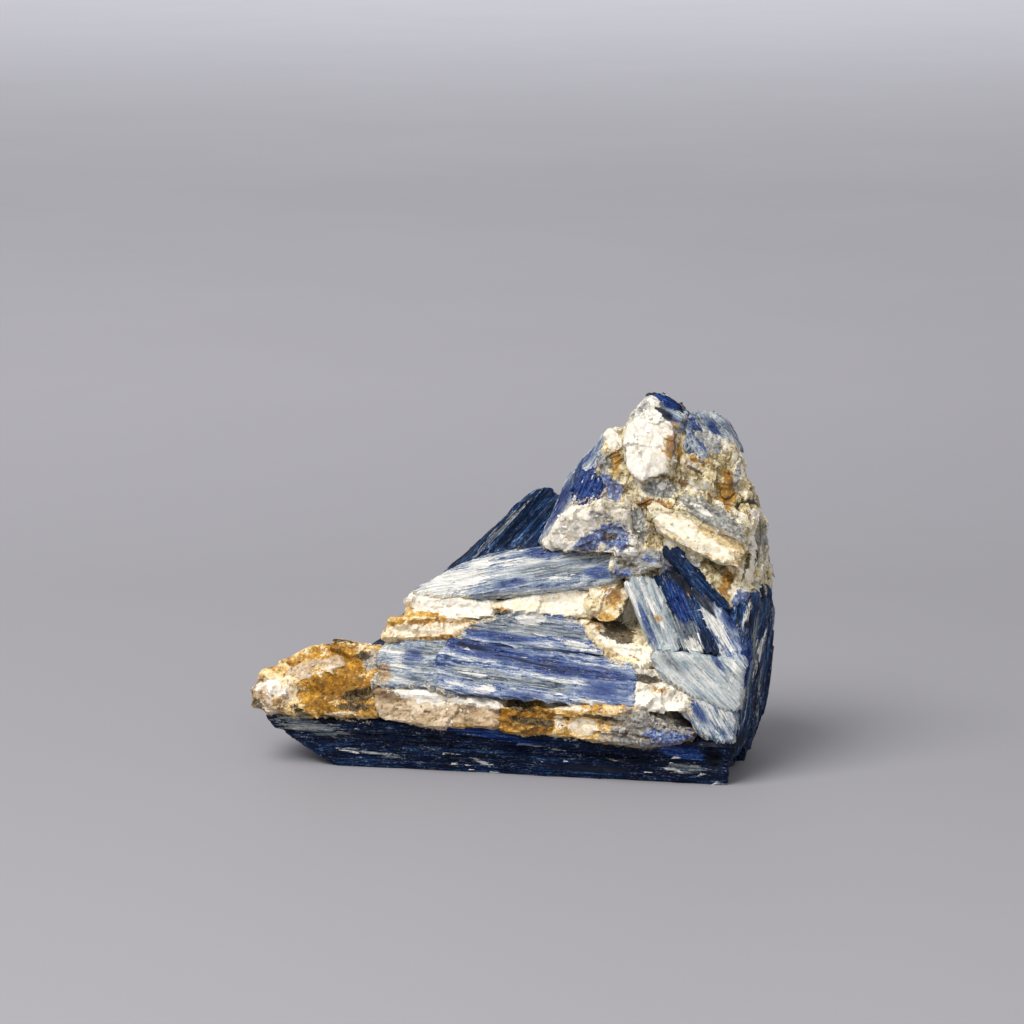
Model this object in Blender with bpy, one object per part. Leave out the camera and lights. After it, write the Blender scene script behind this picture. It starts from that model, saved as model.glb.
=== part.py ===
"""A kyanite blade cluster: blue kyanite blades grown together with quartz and feldspar.

Every blade and every mass of quartz is a convex faceted crystal. It is described by the corners of the
face that shows and by how far it runs back into the lump, in millimetres. +X runs to the right along the
long front edge, +Y runs back, +Z is up, and the lump stands on Z = 0.

Crystals that grew first keep their whole shape. A later one is cut back where it meets an earlier one,
with a parting of GAP between the two faces.
"""

import math

import bmesh
import bpy
from mathutils import Vector

MM = 0.001
GAP = 0.35 * MM  # parting between two crystals that grew against each other
FLAT_WITHIN = math.radians(0.5)  # facets flatter than this to each other are one facet

# colour (linear RGB) and roughness of each mineral
MINERALS = {
    "kyanite_deep": ((0.02, 0.05, 0.17), 0.35),
    "kyanite_pale": ((0.22, 0.30, 0.48), 0.40),
    "kyanite_violet": ((0.10, 0.12, 0.34), 0.38),
    "milky_quartz": ((0.62, 0.55, 0.45), 0.55),
    "stained_quartz": ((0.50, 0.28, 0.07), 0.60),
    "feldspar": ((0.72, 0.62, 0.45), 0.50),
}


def clear_scene():
    for obj in list(bpy.data.objects):
        bpy.data.objects.remove(obj)


def mineral(name):
    """The material of one mineral, made once and shared by every crystal of it."""
    found = bpy.data.materials.get(name)
    if found:
        return found
    colour, roughness = MINERALS[name]
    made = bpy.data.materials.new(name)
    made.use_nodes = True
    shader = made.node_tree.nodes["Principled BSDF"]
    shader.inputs["Base Color"].default_value = (*colour, 1.0)
    shader.inputs["Roughness"].default_value = roughness
    shader.inputs["Metallic"].default_value = 0.0
    return made


def hull_object(name, corners):
    """A closed convex solid on these corners."""
    bm = bmesh.new()
    for corner in corners:
        bm.verts.new(corner)
    made = bmesh.ops.convex_hull(bm, input=bm.verts)
    inside = [v for v in made["geom_interior"] + made["geom_unused"] if isinstance(v, bmesh.types.BMVert)]
    bmesh.ops.delete(bm, geom=list(set(inside)), context="VERTS")
    bmesh.ops.dissolve_limit(bm, angle_limit=FLAT_WITHIN, verts=bm.verts, edges=bm.edges)
    bmesh.ops.recalc_face_normals(bm, faces=bm.faces)
    mesh = bpy.data.meshes.new(name)
    bm.to_mesh(mesh)
    bm.free()
    obj = bpy.data.objects.new(name, mesh)
    bpy.context.scene.collection.objects.link(obj)
    return obj


def run_back(face, depth, keep=0.94):
    """The corners of a face, and the same face moved back by depth and drawn in to keep of its size.

    A corner that stands on the table stays on it.
    """
    face = [Vector(corner) * MM for corner in face]
    depth = Vector(depth) * MM
    middle = sum(face, Vector()) / len(face)
    back = [middle + (corner - middle) * keep + depth for corner in face]
    for corner, behind in zip(face, back):
        if corner.z == 0.0:
            behind.z = 0.0
    return face + back


def lath(start, end, across, width, end_width, crown=0.0, cut=0.0):
    """The face of a lath, from the middle of one end to the middle of the other.

    across points over its width. The middle of each long side stands out by crown, and the first end is
    cut at a slant that runs cut further on one side.
    """
    start, end, across = Vector(start), Vector(end), Vector(across)
    along = (end - start).normalized()
    across = (across - along * across.dot(along)).normalized()
    middle = (start + end) / 2
    half, end_half = width / 2, end_width / 2
    bulge = (half + end_half) / 2 + crown
    return [
        start + across * half + along * cut, start - across * half - along * cut,
        middle - across * bulge, end - across * end_half, end + across * end_half, middle + across * bulge,
    ]


def grain(centre, across, up, width, height, sides=8):
    """The face of a rounded grain: an ellipse width by height, with this many sides."""
    centre = Vector(centre)
    across = Vector(across).normalized() * width / 2
    up = Vector(up).normalized() * height / 2
    turns = [2 * math.pi * (side + 0.5) / sides for side in range(sides)]
    return [centre + across * math.cos(turn) + up * math.sin(turn) for turn in turns]


def swollen(corners):
    """The corners of the same hull grown by GAP on every side, for cutting a later crystal."""
    signs = (-1.0, 1.0)
    return [
        corner + Vector((x, y, z)) * GAP for corner in corners for x in signs for y in signs for z in signs
    ]


# ---------------------------------------------------------------- blades of the front, from the foot up


def base_blade():
    """The long dark blade that the lump stands on. Its left end is broken off at a slant."""
    face = (
        (34.6, -19.35, 0.0), (34.6, -18.9, 6.6), (-40.4, -5.2, 8.0), (-39.6, -5.6, 6.2), (-29.0, -7.6, 0.0),
    )
    return "base_blade", "kyanite_deep", run_back(face, (4.2, 20.0, 0.0), keep=0.94)


def front_main_blade():
    """The violet striated blade across the middle of the slope, snapped square at its right end."""
    face = (
        (-12.0, -11.4, 13.4), (19.8, -16.4, 11.9), (19.9, -14.0, 14.6), (20.0, -10.4, 17.3),
        (-10.2, -4.8, 20.2), (-12.6, -7.5, 17.2),
    )
    return "front_main_blade", "kyanite_violet", run_back(face, (4.0, 22.0, 0.0))


def front_left_blade():
    """The pale blade whose end shows left of the violet one."""
    face = (
        (-22.7, -8.9, 13.7), (-21.0, -4.6, 18.8), (-8.0, -3.4, 20.2),
        (-4.0, -10.6, 14.2), (-5.0, -12.0, 13.5),
    )
    return "front_left_blade", "kyanite_pale", run_back(face, (3.0, 20.0, 0.0))


def front_upper_blade():
    """The dull grey-blue lens above the violet blade."""
    face = (
        (-9.6, -3.6, 20.6), (-6.4, -2.4, 22.5), (3.0, -2.4, 24.9), (9.0, -3.0, 24.2), (14.0, -5.4, 21.2),
        (15.4, -7.6, 18.4), (0.0, -6.4, 19.6),
    )
    return "front_upper_blade", "kyanite_violet", run_back(face, (3.0, 18.0, 0.3))


def ridge_blade():
    """The white to blue blade that makes the ridge on the left."""
    face = (
        (-16.4, 1.4, 26.6), (-13.5, 0.0, 26.2), (-2.0, -0.6, 27.0), (10.0, -2.2, 28.7), (15.5, -3.8, 29.6),
        (18.0, -3.8, 31.5), (16.5, 0.0, 34.0), (8.0, 3.2, 33.6), (-2.0, 4.2, 32.3), (-9.3, 4.6, 30.5),
    )
    return "ridge_blade", "kyanite_pale", run_back(face, (2.5, 13.0, -1.5))


# ---------------------------------------------------------------- blades of the right-hand corner


def diagonal_left_blade():
    """The left lath of the steep fan below the tower."""
    face = lath(
        start=(20.5, -5.5, 30.5), end=(25.8, -12.2, 18.8),
        across=(1, 0, 0.2), width=4, end_width=3, crown=0.4,
    )
    return "diagonal_left_blade", "kyanite_pale", run_back(face, (1.0, 11.0, 1.0))


def diagonal_middle_blade():
    """The dark middle lath of the fan."""
    face = lath(
        start=(25, -4.5, 32), end=(30.8, -13, 18.4),
        across=(1, 0, 0.1), width=5, end_width=5.5, crown=0.5,
    )
    return "diagonal_middle_blade", "kyanite_deep", run_back(face, (1.0, 11.0, 1.0))


def diagonal_right_blade():
    """The violet right lath of the fan, which runs to the corner."""
    face = lath(
        start=(29, -6.5, 29.5), end=(36.6, -13.7, 17),
        across=(1, 0, 0.5), width=2, end_width=4, crown=1,
    )
    return "diagonal_right_blade", "kyanite_violet", run_back(face, (1.0, 11.0, 1.0))


def corner_blade():
    """The pale flat plate under the fan."""
    face = (
        (22.9, -12.4, 19.8), (30.2, -13.8, 18.6), (37.2, -13.6, 19.2), (36.9, -15.2, 14.0),
        (35.9, -16.6, 11.2), (32.5, -16.2, 13.5), (27.6, -15.2, 14.8), (24.8, -13.8, 16.6),
    )
    return "corner_blade", "kyanite_pale", run_back(face, (1.0, 13.0, -0.5))


def corner_foot_blade():
    """The blue-grey plate at the foot of the corner, one cleavage step below the pale one."""
    face = (
        (28.0, -14.8, 14.6), (32.5, -15.8, 13.2), (36.0, -16.4, 10.8), (35.4, -17.8, 7.2),
        (33.8, -18.6, 6.9), (30.4, -18.4, 8.2), (28.2, -17.2, 11.2),
    )
    return "corner_foot_blade", "kyanite_pale", run_back(face, (1.0, 14.0, 0.0))


def side_front_blade():
    """The upright dark blade round the corner, on the right-hand side."""
    face = (
        (35.6, -16.4, 4.6), (36.8, -11.5, 2.6), (39.2, -9.0, 8.0), (41.2, -4.6, 24.0), (40.4, -5.6, 28.8),
        (38.0, -8.8, 28.0), (37.6, -12.6, 19.0), (36.6, -15.6, 10.0),
    )
    return "side_front_blade", "kyanite_deep", run_back(face, (-4.5, 3.5, 0.0))


def side_rear_blade():
    """The second upright blade, behind the first, which makes the outline on the right."""
    face = (
        (37.6, -10.6, 2.4), (39.6, -1.0, 1.6), (42.4, 1.0, 10.0), (43.2, 2.0, 22.0), (42.6, 1.4, 27.6),
        (41.0, -3.6, 26.6), (40.0, -8.0, 14.0),
    )
    return "side_rear_blade", "kyanite_deep", run_back(face, (-5.0, 4.5, 0.0))


def crack_blade():
    """The thin dark blade whose edge shows along the crack between the tower and the fan."""
    face = lath(
        start=(25.5, -5.2, 35.5), end=(34.5, -9, 26),
        across=(1, 0, 0.8), width=1.6, end_width=1.2, crown=0.3,
    )
    return "crack_blade", "kyanite_deep", run_back(face, (1.0, 6.0, 1.0))


# ---------------------------------------------------------------- blades of the tower


def tower_outer_blade():
    """The pale blade up the left flank of the tower, which makes the outline there."""
    face = lath(
        start=(5.2, 5.5, 34), end=(16, 5, 52.5),
        across=(-3, 4, 0.5), width=3, end_width=2.4, crown=2.2,
    )
    return "tower_outer_blade", "kyanite_pale", run_back(face, (2.5, 8.0, -1.4))


def tower_deep_blade():
    """The deep blue crystal set in the flank beside it."""
    face = grain(centre=(12.5, 1, 44), across=(1, -0.5, 0), up=(0.2, 0.4, 1), width=6, height=6.5, sides=7)
    return "tower_deep_blade", "kyanite_deep", run_back(face, (2.0, 5.0, 1.0))


def cap_blade():
    """The small dark crystal at the very top."""
    face = (
        (22.4, 3.2, 59.3), (23.4, 3.8, 60.0), (25.6, 3.6, 59.6), (27.9, 2.8, 57.9), (28.1, 1.6, 56.4),
        (27.3, 0.8, 56.0), (24.4, 1.4, 57.8),
    )
    return "cap_blade", "kyanite_deep", run_back(face, (0.4, 6.5, -1.8))


def cap_lower_blade():
    """The grey blade just under the dark one."""
    face = lath(
        start=(23, 1.5, 58), end=(27.5, 0, 55.5),
        across=(0.3, 0.6, 1), width=1.5, end_width=2, crown=0.4,
    )
    return "cap_lower_blade", "kyanite_pale", run_back(face, (1.5, 6.0, -1.0))


def fan_blades():
    """The pale blades that fan out on the right of the top."""
    face = (
        (28.8, 1.2, 55.2), (29.6, 2.4, 57.0), (31.7, 3.2, 57.1), (34.3, 3.4, 54.9), (36.9, 3.2, 50.6),
        (35.8, 0.0, 49.4), (30.4, -1.2, 49.6), (28.4, -0.8, 52.0),
    )
    return "fan_blades", "kyanite_pale", run_back(face, (2.0, 8.0, -1.0))


# ---------------------------------------------------------------- blades of the back


def back_blade():
    """The big dark blade up the back, which shows between the ridge and the tower."""
    face = (
        (-27.6, 12.6, 7.0), (-24.0, 12.6, 13.8), (2.4, 13.6, 40.9), (5.0, 13.8, 42.2), (8.2, 13.4, 40.6),
        (9.6, 13.0, 34.0), (-12.0, 12.4, 8.6), (-20.0, 12.2, 3.4), (-25.0, 12.4, 4.2),
    )
    return "back_blade", "kyanite_deep", run_back(face, (1.0, 5.6, -1.0))


def back_middle_blade():
    """The violet blade beside it, which starts part of the way up."""
    face = (
        (-7.5, 12.4, 9.5), (-4.6, 12.8, 14.0), (12.4, 13.6, 38.6), (16.8, 13.4, 42.4), (20.6, 12.8, 40.0),
        (20.2, 12.6, 33.0), (4.4, 12.4, 11.6), (-2.6, 12.2, 7.4),
    )
    return "back_middle_blade", "kyanite_violet", run_back(face, (0.8, 5.0, -0.8))


def back_right_blade():
    """The steep pale blade on the right of the back."""
    face = (
        (22.0, 13.0, 9.0), (24.4, 13.6, 24.0), (26.6, 13.2, 38.4), (30.4, 12.6, 45.4), (33.8, 12.8, 41.8),
        (33.6, 13.4, 29.0), (30.6, 13.2, 11.0), (26.4, 12.8, 6.6),
    )
    return "back_right_blade", "kyanite_pale", run_back(face, (0.8, 5.2, -1.0))


def back_foot_blade():
    """The dark lath that lies along the foot of the back."""
    face = (
        (-20.0, 12.4, 0.0), (-19.0, 12.0, 4.2), (3.0, 12.8, 8.4), (27.0, 13.0, 6.2), (33.0, 12.6, 3.0),
        (34.0, 12.4, 0.0),
    )
    return "back_foot_blade", "kyanite_deep", run_back(face, (0.6, 5.8, 0.0))


def flank_blade():
    """The pale blade up the right-hand flank, behind the two upright ones."""
    outer = (
        (42.0, 7.4, 6.0), (43.5, 7.6, 21.0), (42.6, 7.8, 32.0), (40.6, 9.4, 38.0), (39.8, 12.4, 36.0),
        (41.2, 13.0, 29.0), (42.6, 12.8, 15.0), (41.2, 12.0, 5.2),
    )
    return "flank_blade", "kyanite_pale", run_back(outer, (-5.0, 0.6, -0.6))


# ---------------------------------------------------------------- quartz and feldspar


def stained_quartz_tip():
    """The rusty lump of quartz at the left-hand tip."""
    face = (
        (-43.5, -6.0, 12.3), (-39.0, -7.4, 8.8), (-22.3, -10.4, 8.9), (-22.6, -8.8, 13.5),
        (-21.6, -4.0, 18.5), (-27.5, -2.2, 19.3), (-31.7, -2.0, 18.9), (-41.8, -4.5, 14.7),
    )
    return "stained_quartz_tip", "stained_quartz", run_back(face, (5.5, 15.5, -4.4), keep=0.86)


def tip_end_quartz():
    """The beige lump at the very end of the left-hand tip."""
    face = (
        (-43.5, -6.0, 12.3), (-42.6, -6.4, 9.8), (-40.0, -7.2, 8.6), (-37.6, -7.6, 9.8),
        (-37.0, -7.2, 12.6), (-38.6, -6.0, 14.4), (-41.4, -5.2, 14.6),
    )
    return "tip_end_quartz", "milky_quartz", run_back(face, (2.0, 9.0, -1.6))


def tip_ledge_quartz():
    """The pale ledge along the top of the tip."""
    face = lath(
        start=(-36.5, -5.6, 14.4), end=(-28, -5.4, 16.8),
        across=(0, 0.6, 1), width=2.2, end_width=1.6, crown=0.5,
    )
    return "tip_ledge_quartz", "milky_quartz", run_back(face, (1.0, 8.0, -1.0))


def beige_quartz():
    """The beige quartz that overhangs the base blade on the left."""
    face = lath(
        start=(-22.5, -10, 11), end=(-2.5, -13.5, 9.8),
        across=(0, 0.3, 1), width=4.6, end_width=3.4, crown=0.6, cut=-1.4,
    )
    return "beige_quartz", "milky_quartz", run_back(face, (4.5, 22.0, 0.0))


def brown_quartz_band():
    """The thin brown band that carries on to the right, under the violet blade and the corner."""
    face = (
        (-5.5, -13.4, 9.6), (-3.5, -13.0, 11.2), (10.0, -15.6, 11.6), (20.0, -17.2, 11.2),
        (25.0, -18.0, 10.0), (29.5, -18.7, 7.8), (22.0, -18.1, 6.8), (12.0, -16.7, 7.0), (-1.0, -14.4, 7.6),
    )
    return "brown_quartz_band", "stained_quartz", run_back(face, (4.5, 23.0, 0.0))


def white_quartz():
    """The bright white lump at the left end of the ridge blade."""
    face = lath(
        start=(-17.5, -1, 24.8), end=(-3, -2, 24.7),
        across=(0, 0.6, 1), width=3, end_width=2, crown=0.6,
    )
    return "white_quartz", "milky_quartz", run_back(face, (2.0, 10.0, -0.6))


def layered_quartz():
    """The rusty layered quartz under the white lump."""
    face = lath(
        start=(-20.5, -3, 21.6), end=(-6, -3, 22),
        across=(0, 0.7, 1), width=3, end_width=2.6, crown=0.6, cut=0.8,
    )
    return "layered_quartz", "stained_quartz", run_back(face, (3.0, 16.0, -1.4))


def cream_wedge():
    """The cream feldspar wedge under the ridge blade."""
    face = lath(start=(-3.5, -1.5, 25), end=(13, -3.5, 26.5), across=(0, 0.5, 1), width=0.6, end_width=5.5)
    return "cream_wedge", "feldspar", run_back(face, (1.5, 14.0, -0.6))


def yellow_quartz_grain():
    """The rounded yellow grain at the right end of the cream wedge."""
    face = grain(centre=(15.5, -4.5, 27), across=(1, -0.15, 0), up=(0, 0.7, 1), width=6.5, height=8)
    return "yellow_quartz_grain", "stained_quartz", run_back(face, (1.5, 12.0, 0.0))


def centre_feldspar():
    """The cream feldspar under the yellow grain."""
    face = (
        (10.5, -3.6, 23.8), (15.5, -4.6, 22.8), (19.0, -6.4, 22.2), (24.4, -11.4, 20.2),
        (23.8, -11.8, 18.4), (20.8, -11.0, 17.5), (15.4, -8.2, 18.4), (12.0, -5.6, 21.0),
    )
    return "centre_feldspar", "feldspar", run_back(face, (1.0, 18.0, 0.0))


def corner_quartz():
    """The cream quartz between the snapped end of the violet blade and the corner plates."""
    face = (
        (20.3, -11.2, 17.1), (24.4, -12.4, 17.0), (28.0, -14.6, 15.0),
        (28.9, -17.8, 11.8), (20.3, -16.9, 11.8),
    )
    return "corner_quartz", "milky_quartz", run_back(face, (1.0, 18.0, 0.0))


def shoulder_quartz():
    """The grey grains between the blue blades of the tower and the white peak."""
    face = lath(start=(16, -0.5, 41.5), end=(17.8, 4, 54), across=(1, -0.4, 0), width=7, end_width=4)
    return "shoulder_quartz", "milky_quartz", run_back(face, (2.0, 9.0, -1.0))


def granular_knot():
    """The sugary knot of crushed blades and quartz at the foot of the tower."""
    face = (
        (5.2, 2.2, 34.4), (6.5, 0.6, 37.2), (9.5, -0.8, 41.3), (13.5, -1.9, 43.0), (18.5, -3.2, 42.6),
        (20.0, -3.8, 38.0), (19.8, -4.0, 35.0), (12.0, -2.0, 34.2),
    )
    return "granular_knot", "milky_quartz", run_back(face, (1.0, 13.0, -1.0))


def peak_quartz():
    """The bright white lump under the cap."""
    face = (
        (18.3, -1.2, 52.5), (19.3, 0.3, 57.0), (22.4, 1.8, 58.9), (25.8, 0.6, 57.0), (26.4, -2.4, 51.5),
        (25.6, -3.6, 48.3), (20.8, -4.4, 47.0), (18.6, -3.4, 49.0),
    )
    return "peak_quartz", "milky_quartz", run_back(face, (1.5, 9.0, -1.0))


def feldspar_grain():
    """The long cream grain across the tower."""
    face = (
        (22.4, -3.4, 43.0), (29.2, -4.0, 41.5), (35.2, -5.6, 38.7), (37.6, -7.0, 36.3), (36.8, -8.8, 33.5),
        (32.5, -8.2, 34.6), (28.8, -7.2, 36.7), (24.3, -5.6, 38.7),
    )
    return "feldspar_grain", "feldspar", run_back(face, (0.5, 6.0, 1.0))


def grey_quartz_band():
    """The grey quartz along the top of the cream grain."""
    face = lath(
        start=(28, -3.8, 43.4), end=(37.8, -6.6, 38.4),
        across=(0, 0.35, 1), width=2, end_width=2.6, crown=0.4,
    )
    return "grey_quartz_band", "milky_quartz", run_back(face, (0.5, 6.0, 1.0))


def tower_tan_grain():
    """The tan lump between the white peak and the fanned blades."""
    face = grain(centre=(31, -1.8, 48.2), across=(1, 0.15, -0.3), up=(0.1, 0.4, 1), width=7, height=4.6)
    return "tower_tan_grain", "milky_quartz", run_back(face, (1.0, 6.0, -1.0))


def tower_flank_grain():
    """The grey and white grains that make the tower's outline on the right."""
    face = lath(
        start=(38.4, -2.6, 42), end=(40.2, -4.2, 31),
        across=(1, 0.8, 0), width=2.4, end_width=2.6, crown=0.5,
    )
    return "tower_flank_grain", "milky_quartz", run_back(face, (-1.0, 6.0, -1.0))


def ridge_end_grain():
    """The speckled grey grains at the right-hand end of the ridge."""
    face = grain(centre=(20.6, -4.2, 32.8), across=(1, -0.1, 0.1), up=(0, 0.5, 1), width=8.5, height=4)
    return "ridge_end_grain", "milky_quartz", run_back(face, (1.0, 7.0, 0.5))


def quartz_mass():
    """The mass of quartz that carries the tower and runs down behind the blades to the table."""
    front = (
        (20.0, -1.6, 47.5), (19.6, -1.2, 42.0), (21.0, -2.2, 35.5), (26.0, -4.2, 33.6), (37.2, -8.0, 28.4),
        (39.0, -6.4, 33.0), (39.2, -4.0, 40.0), (39.8, 1.6, 44.0), (37.0, 1.2, 51.2), (31.0, 0.4, 54.0),
        (25.6, 1.6, 57.6), (20.5, 1.6, 56.8),
    )
    flank = (
        (42.0, 4.4, 36.5), (43.2, 5.4, 30.0), (43.1, 5.8, 24.0), (41.4, 8.0, 12.0), (38.4, 8.0, 0.0),
        (36.6, -1.0, 0.4),
    )
    back = (
        (25.0, 12.0, 57.4), (31.0, 13.5, 53.6), (37.0, 14.8, 41.0), (41.4, 15.4, 24.0), (39.5, 16.6, 8.0),
        (37.0, 16.4, 0.0), (24.0, 17.0, 26.0), (21.0, 16.8, 10.0), (20.0, 16.4, 0.0), (16.0, 11.0, 22.0),
        (12.0, 9.0, 8.0), (18.0, 2.0, 0.4),
    )
    corners = [Vector(corner) * MM for corner in front + flank + back]
    return "quartz_mass", "milky_quartz", corners


def rear_quartz():
    """The rusty quartz behind the layers of the front, which the blades of the back lie in."""
    inner = (
        (-24.0, 7.0, 2.0), (-20.0, 6.0, 15.5), (-8.0, 6.0, 23.5), (12.0, 6.0, 29.5), (20.0, 5.0, 30.0),
        (20.0, 5.0, 4.0),
    )
    outer = (
        (-28.0, 13.6, 0.0), (-27.0, 14.0, 6.0), (-22.0, 15.6, 11.0), (-12.0, 17.2, 19.5), (0.0, 17.6, 30.5),
        (12.0, 17.0, 37.5), (20.0, 17.2, 38.0), (24.0, 18.0, 20.0), (24.0, 17.6, 0.0), (-16.0, 17.0, 0.0),
    )
    corners = [Vector(corner) * MM for corner in inner + outer]
    return "rear_quartz", "stained_quartz", corners


# In the order of growth: each crystal is cut back where it meets any crystal above it in this list.
GROWTH = (
    base_blade, back_blade, back_foot_blade, back_middle_blade, back_right_blade, flank_blade,
    front_main_blade, front_left_blade, front_upper_blade, ridge_blade, corner_foot_blade, corner_blade,
    diagonal_left_blade, diagonal_middle_blade, diagonal_right_blade, side_front_blade, side_rear_blade,
    crack_blade, cap_blade, cap_lower_blade, fan_blades, tower_deep_blade, tower_outer_blade,
    tip_end_quartz, tip_ledge_quartz, stained_quartz_tip, beige_quartz, brown_quartz_band, corner_quartz,
    centre_feldspar, yellow_quartz_grain, cream_wedge, white_quartz, layered_quartz, granular_knot,
    shoulder_quartz, peak_quartz, feldspar_grain, grey_quartz_band, tower_tan_grain, tower_flank_grain,
    ridge_end_grain, quartz_mass, rear_quartz,
)


def reach(corners):
    low = Vector(min(c[i] for c in corners) for i in range(3))
    high = Vector(max(c[i] for c in corners) for i in range(3))
    return low, high


def near(one, other):
    """Whether the boxes of two crystals come within GAP of each other."""
    (low_a, high_a), (low_b, high_b) = reach(one), reach(other)
    return all(low_a[i] - GAP < high_b[i] and low_b[i] - GAP < high_a[i] for i in range(3))


def cutter_for(name, corners):
    obj = hull_object(f"cutter_{name}", swollen(corners))
    obj.hide_render = True
    obj.display_type = "WIRE"
    return obj


def keep_largest_body(obj):
    """Puts the cut shape into the mesh, without the loose chips that the cuts may part from it."""
    bpy.context.view_layer.update()
    graph = bpy.context.evaluated_depsgraph_get()
    bm = bmesh.new()
    bm.from_object(obj, graph)
    unseen, bodies = set(bm.verts), []
    while unseen:
        body, edge = set(), [next(iter(unseen))]
        while edge:
            vert = edge.pop()
            if vert not in body:
                body.add(vert)
                edge.extend(e.other_vert(vert) for e in vert.link_edges)
        unseen -= body
        bodies.append(body)
    bodies.sort(key=len, reverse=True)
    chips = [v for body in bodies[1:] for v in body]
    bmesh.ops.delete(bm, geom=chips, context="VERTS")
    obj.modifiers.clear()
    bm.to_mesh(obj.data)
    bm.free()


def grow():
    earlier = []
    for crystal in GROWTH:
        name, mineral_name, corners = crystal()
        obj = hull_object(name, corners)
        obj.data.materials.append(mineral(mineral_name))
        for cutter, cutter_corners in earlier:
            if near(corners, cutter_corners):
                cut = obj.modifiers.new(f"meets {cutter.name}", "BOOLEAN")
                cut.operation = "DIFFERENCE"
                cut.solver = "EXACT"
                cut.object = cutter
        keep_largest_body(obj)
        earlier.append((cutter_for(name, corners), corners))


clear_scene()
grow()
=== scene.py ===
# %% [markdown]
# # A kyanite blade cluster
# Kyanite grows as long flat blades, each one a bundle of thin laths that split apart easily. Here they are
# grown together with milky quartz and feldspar, some of it stained by rust. The solid model gives each
# crystal its true place and size as a plain faceted solid. This script grows a finely broken surface on each
# one, colours it, and lights it. All lengths are in millimetres until a mesh is made.

# %% Load the solid model
import itertools
import math

import bmesh
import bpy
import numpy as np
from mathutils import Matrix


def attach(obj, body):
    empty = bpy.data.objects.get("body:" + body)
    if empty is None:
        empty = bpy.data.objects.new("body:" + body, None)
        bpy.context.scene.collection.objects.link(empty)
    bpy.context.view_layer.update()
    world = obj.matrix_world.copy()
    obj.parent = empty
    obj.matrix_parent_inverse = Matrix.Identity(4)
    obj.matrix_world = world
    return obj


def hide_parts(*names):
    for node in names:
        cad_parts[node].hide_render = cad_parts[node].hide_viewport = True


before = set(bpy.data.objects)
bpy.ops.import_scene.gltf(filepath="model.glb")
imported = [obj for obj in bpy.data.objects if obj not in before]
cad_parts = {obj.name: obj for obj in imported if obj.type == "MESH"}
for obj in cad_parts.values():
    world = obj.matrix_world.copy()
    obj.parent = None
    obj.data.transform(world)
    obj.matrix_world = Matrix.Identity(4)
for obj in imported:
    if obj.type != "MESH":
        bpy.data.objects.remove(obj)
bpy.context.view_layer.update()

MM = 0.001
print(len(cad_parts), "crystals in the solid model")

# %% [markdown]
# ## The camera
# The lump is seen from the front and a little above, from about half a metre with a long lens. A long lens
# keeps the blades' edges nearly parallel, as they are when a small thing is held at arm's length.

# %% Camera
LENS_PIXELS = 3400  # focal length, in pixels of a picture 1024 wide
PICTURE_WIDTH = 1024
SENSOR = 36.0
CAMERA_PLACE = (0.0, -0.5453, 0.1588)
CAMERA_DOWN = 12.2  # degrees below level

lens = bpy.data.cameras.new("camera")
lens.sensor_width = SENSOR
lens.lens = SENSOR * LENS_PIXELS / PICTURE_WIDTH
camera = bpy.data.objects.new("camera", lens)
camera.location = CAMERA_PLACE
camera.rotation_euler = (math.radians(90 - CAMERA_DOWN), 0, 0)
bpy.context.scene.collection.objects.link(camera)
bpy.context.scene.camera = camera
print("camera with a lens of", round(lens.lens, 1), "mm")

# %% [markdown]
# ## Chance and clouds
# A broken crystal looks irregular, but this one must come out the same each time. So nothing is drawn from
# a random generator. Chance is worked out from a place: the same cell of space always gives the same number.


# %% Numbers from places
def chance(seed, *cells):
    """A number from 0 to 1 for each cell: its whole coordinates multiplied and mixed bit by bit."""
    mixed = np.full(np.shape(cells[0]), seed * 7919 + 12345, dtype=np.uint32)
    for cell in cells:
        mixed = (mixed ^ cell.astype(np.int64).astype(np.uint32)) * np.uint32(2654435761)
        mixed ^= mixed >> np.uint32(15)
    mixed = mixed * np.uint32(2246822519)
    mixed ^= mixed >> np.uint32(13)
    return mixed / 2.0**32


def cloud(seed, places):
    """Smooth noise from -1 to 1: the chances at the eight corners of a place's cell, blended in between."""
    cell = np.floor(places).astype(np.int64)
    part = places - cell
    part = part * part * (3 - 2 * part)
    total = np.zeros(len(places))
    for corner in itertools.product((0, 1), repeat=3):
        weight = np.prod(np.where(corner, part, 1 - part), axis=1)
        total += weight * chance(seed, *(cell + corner).T)
    return 2 * total - 1


def rise(value, low, high):
    """From 0 at low to 1 at high, easing in and out: the smoothstep 3t^2 - 2t^3."""
    t = np.clip((value - low) / (high - low), 0, 1)
    return t * t * (3 - 2 * t)


print("chance of cell 3,4,5:", chance(1, np.array([3]), np.array([4]), np.array([5])))

# %% [markdown]
# ## From a faceted solid to a fine skin
# A crystal could be subdivided and displaced, but its facets are long thin triangles, which give uneven
# detail. Instead a box of fine squares is drawn round the crystal, turned to run along it, and every point
# of the box is pulled in towards the crystal's middle until it meets a facet. First, then, the facets.

# %% The facets of one crystal
SAME_CORNER = 1e-6  # metres: corners nearer than this are one corner
LEAST_FACET = 0.02  # square millimetres: smaller facets are left out
NEARLY_LEVEL = 0.996  # the cosine of about 5 degrees


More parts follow.
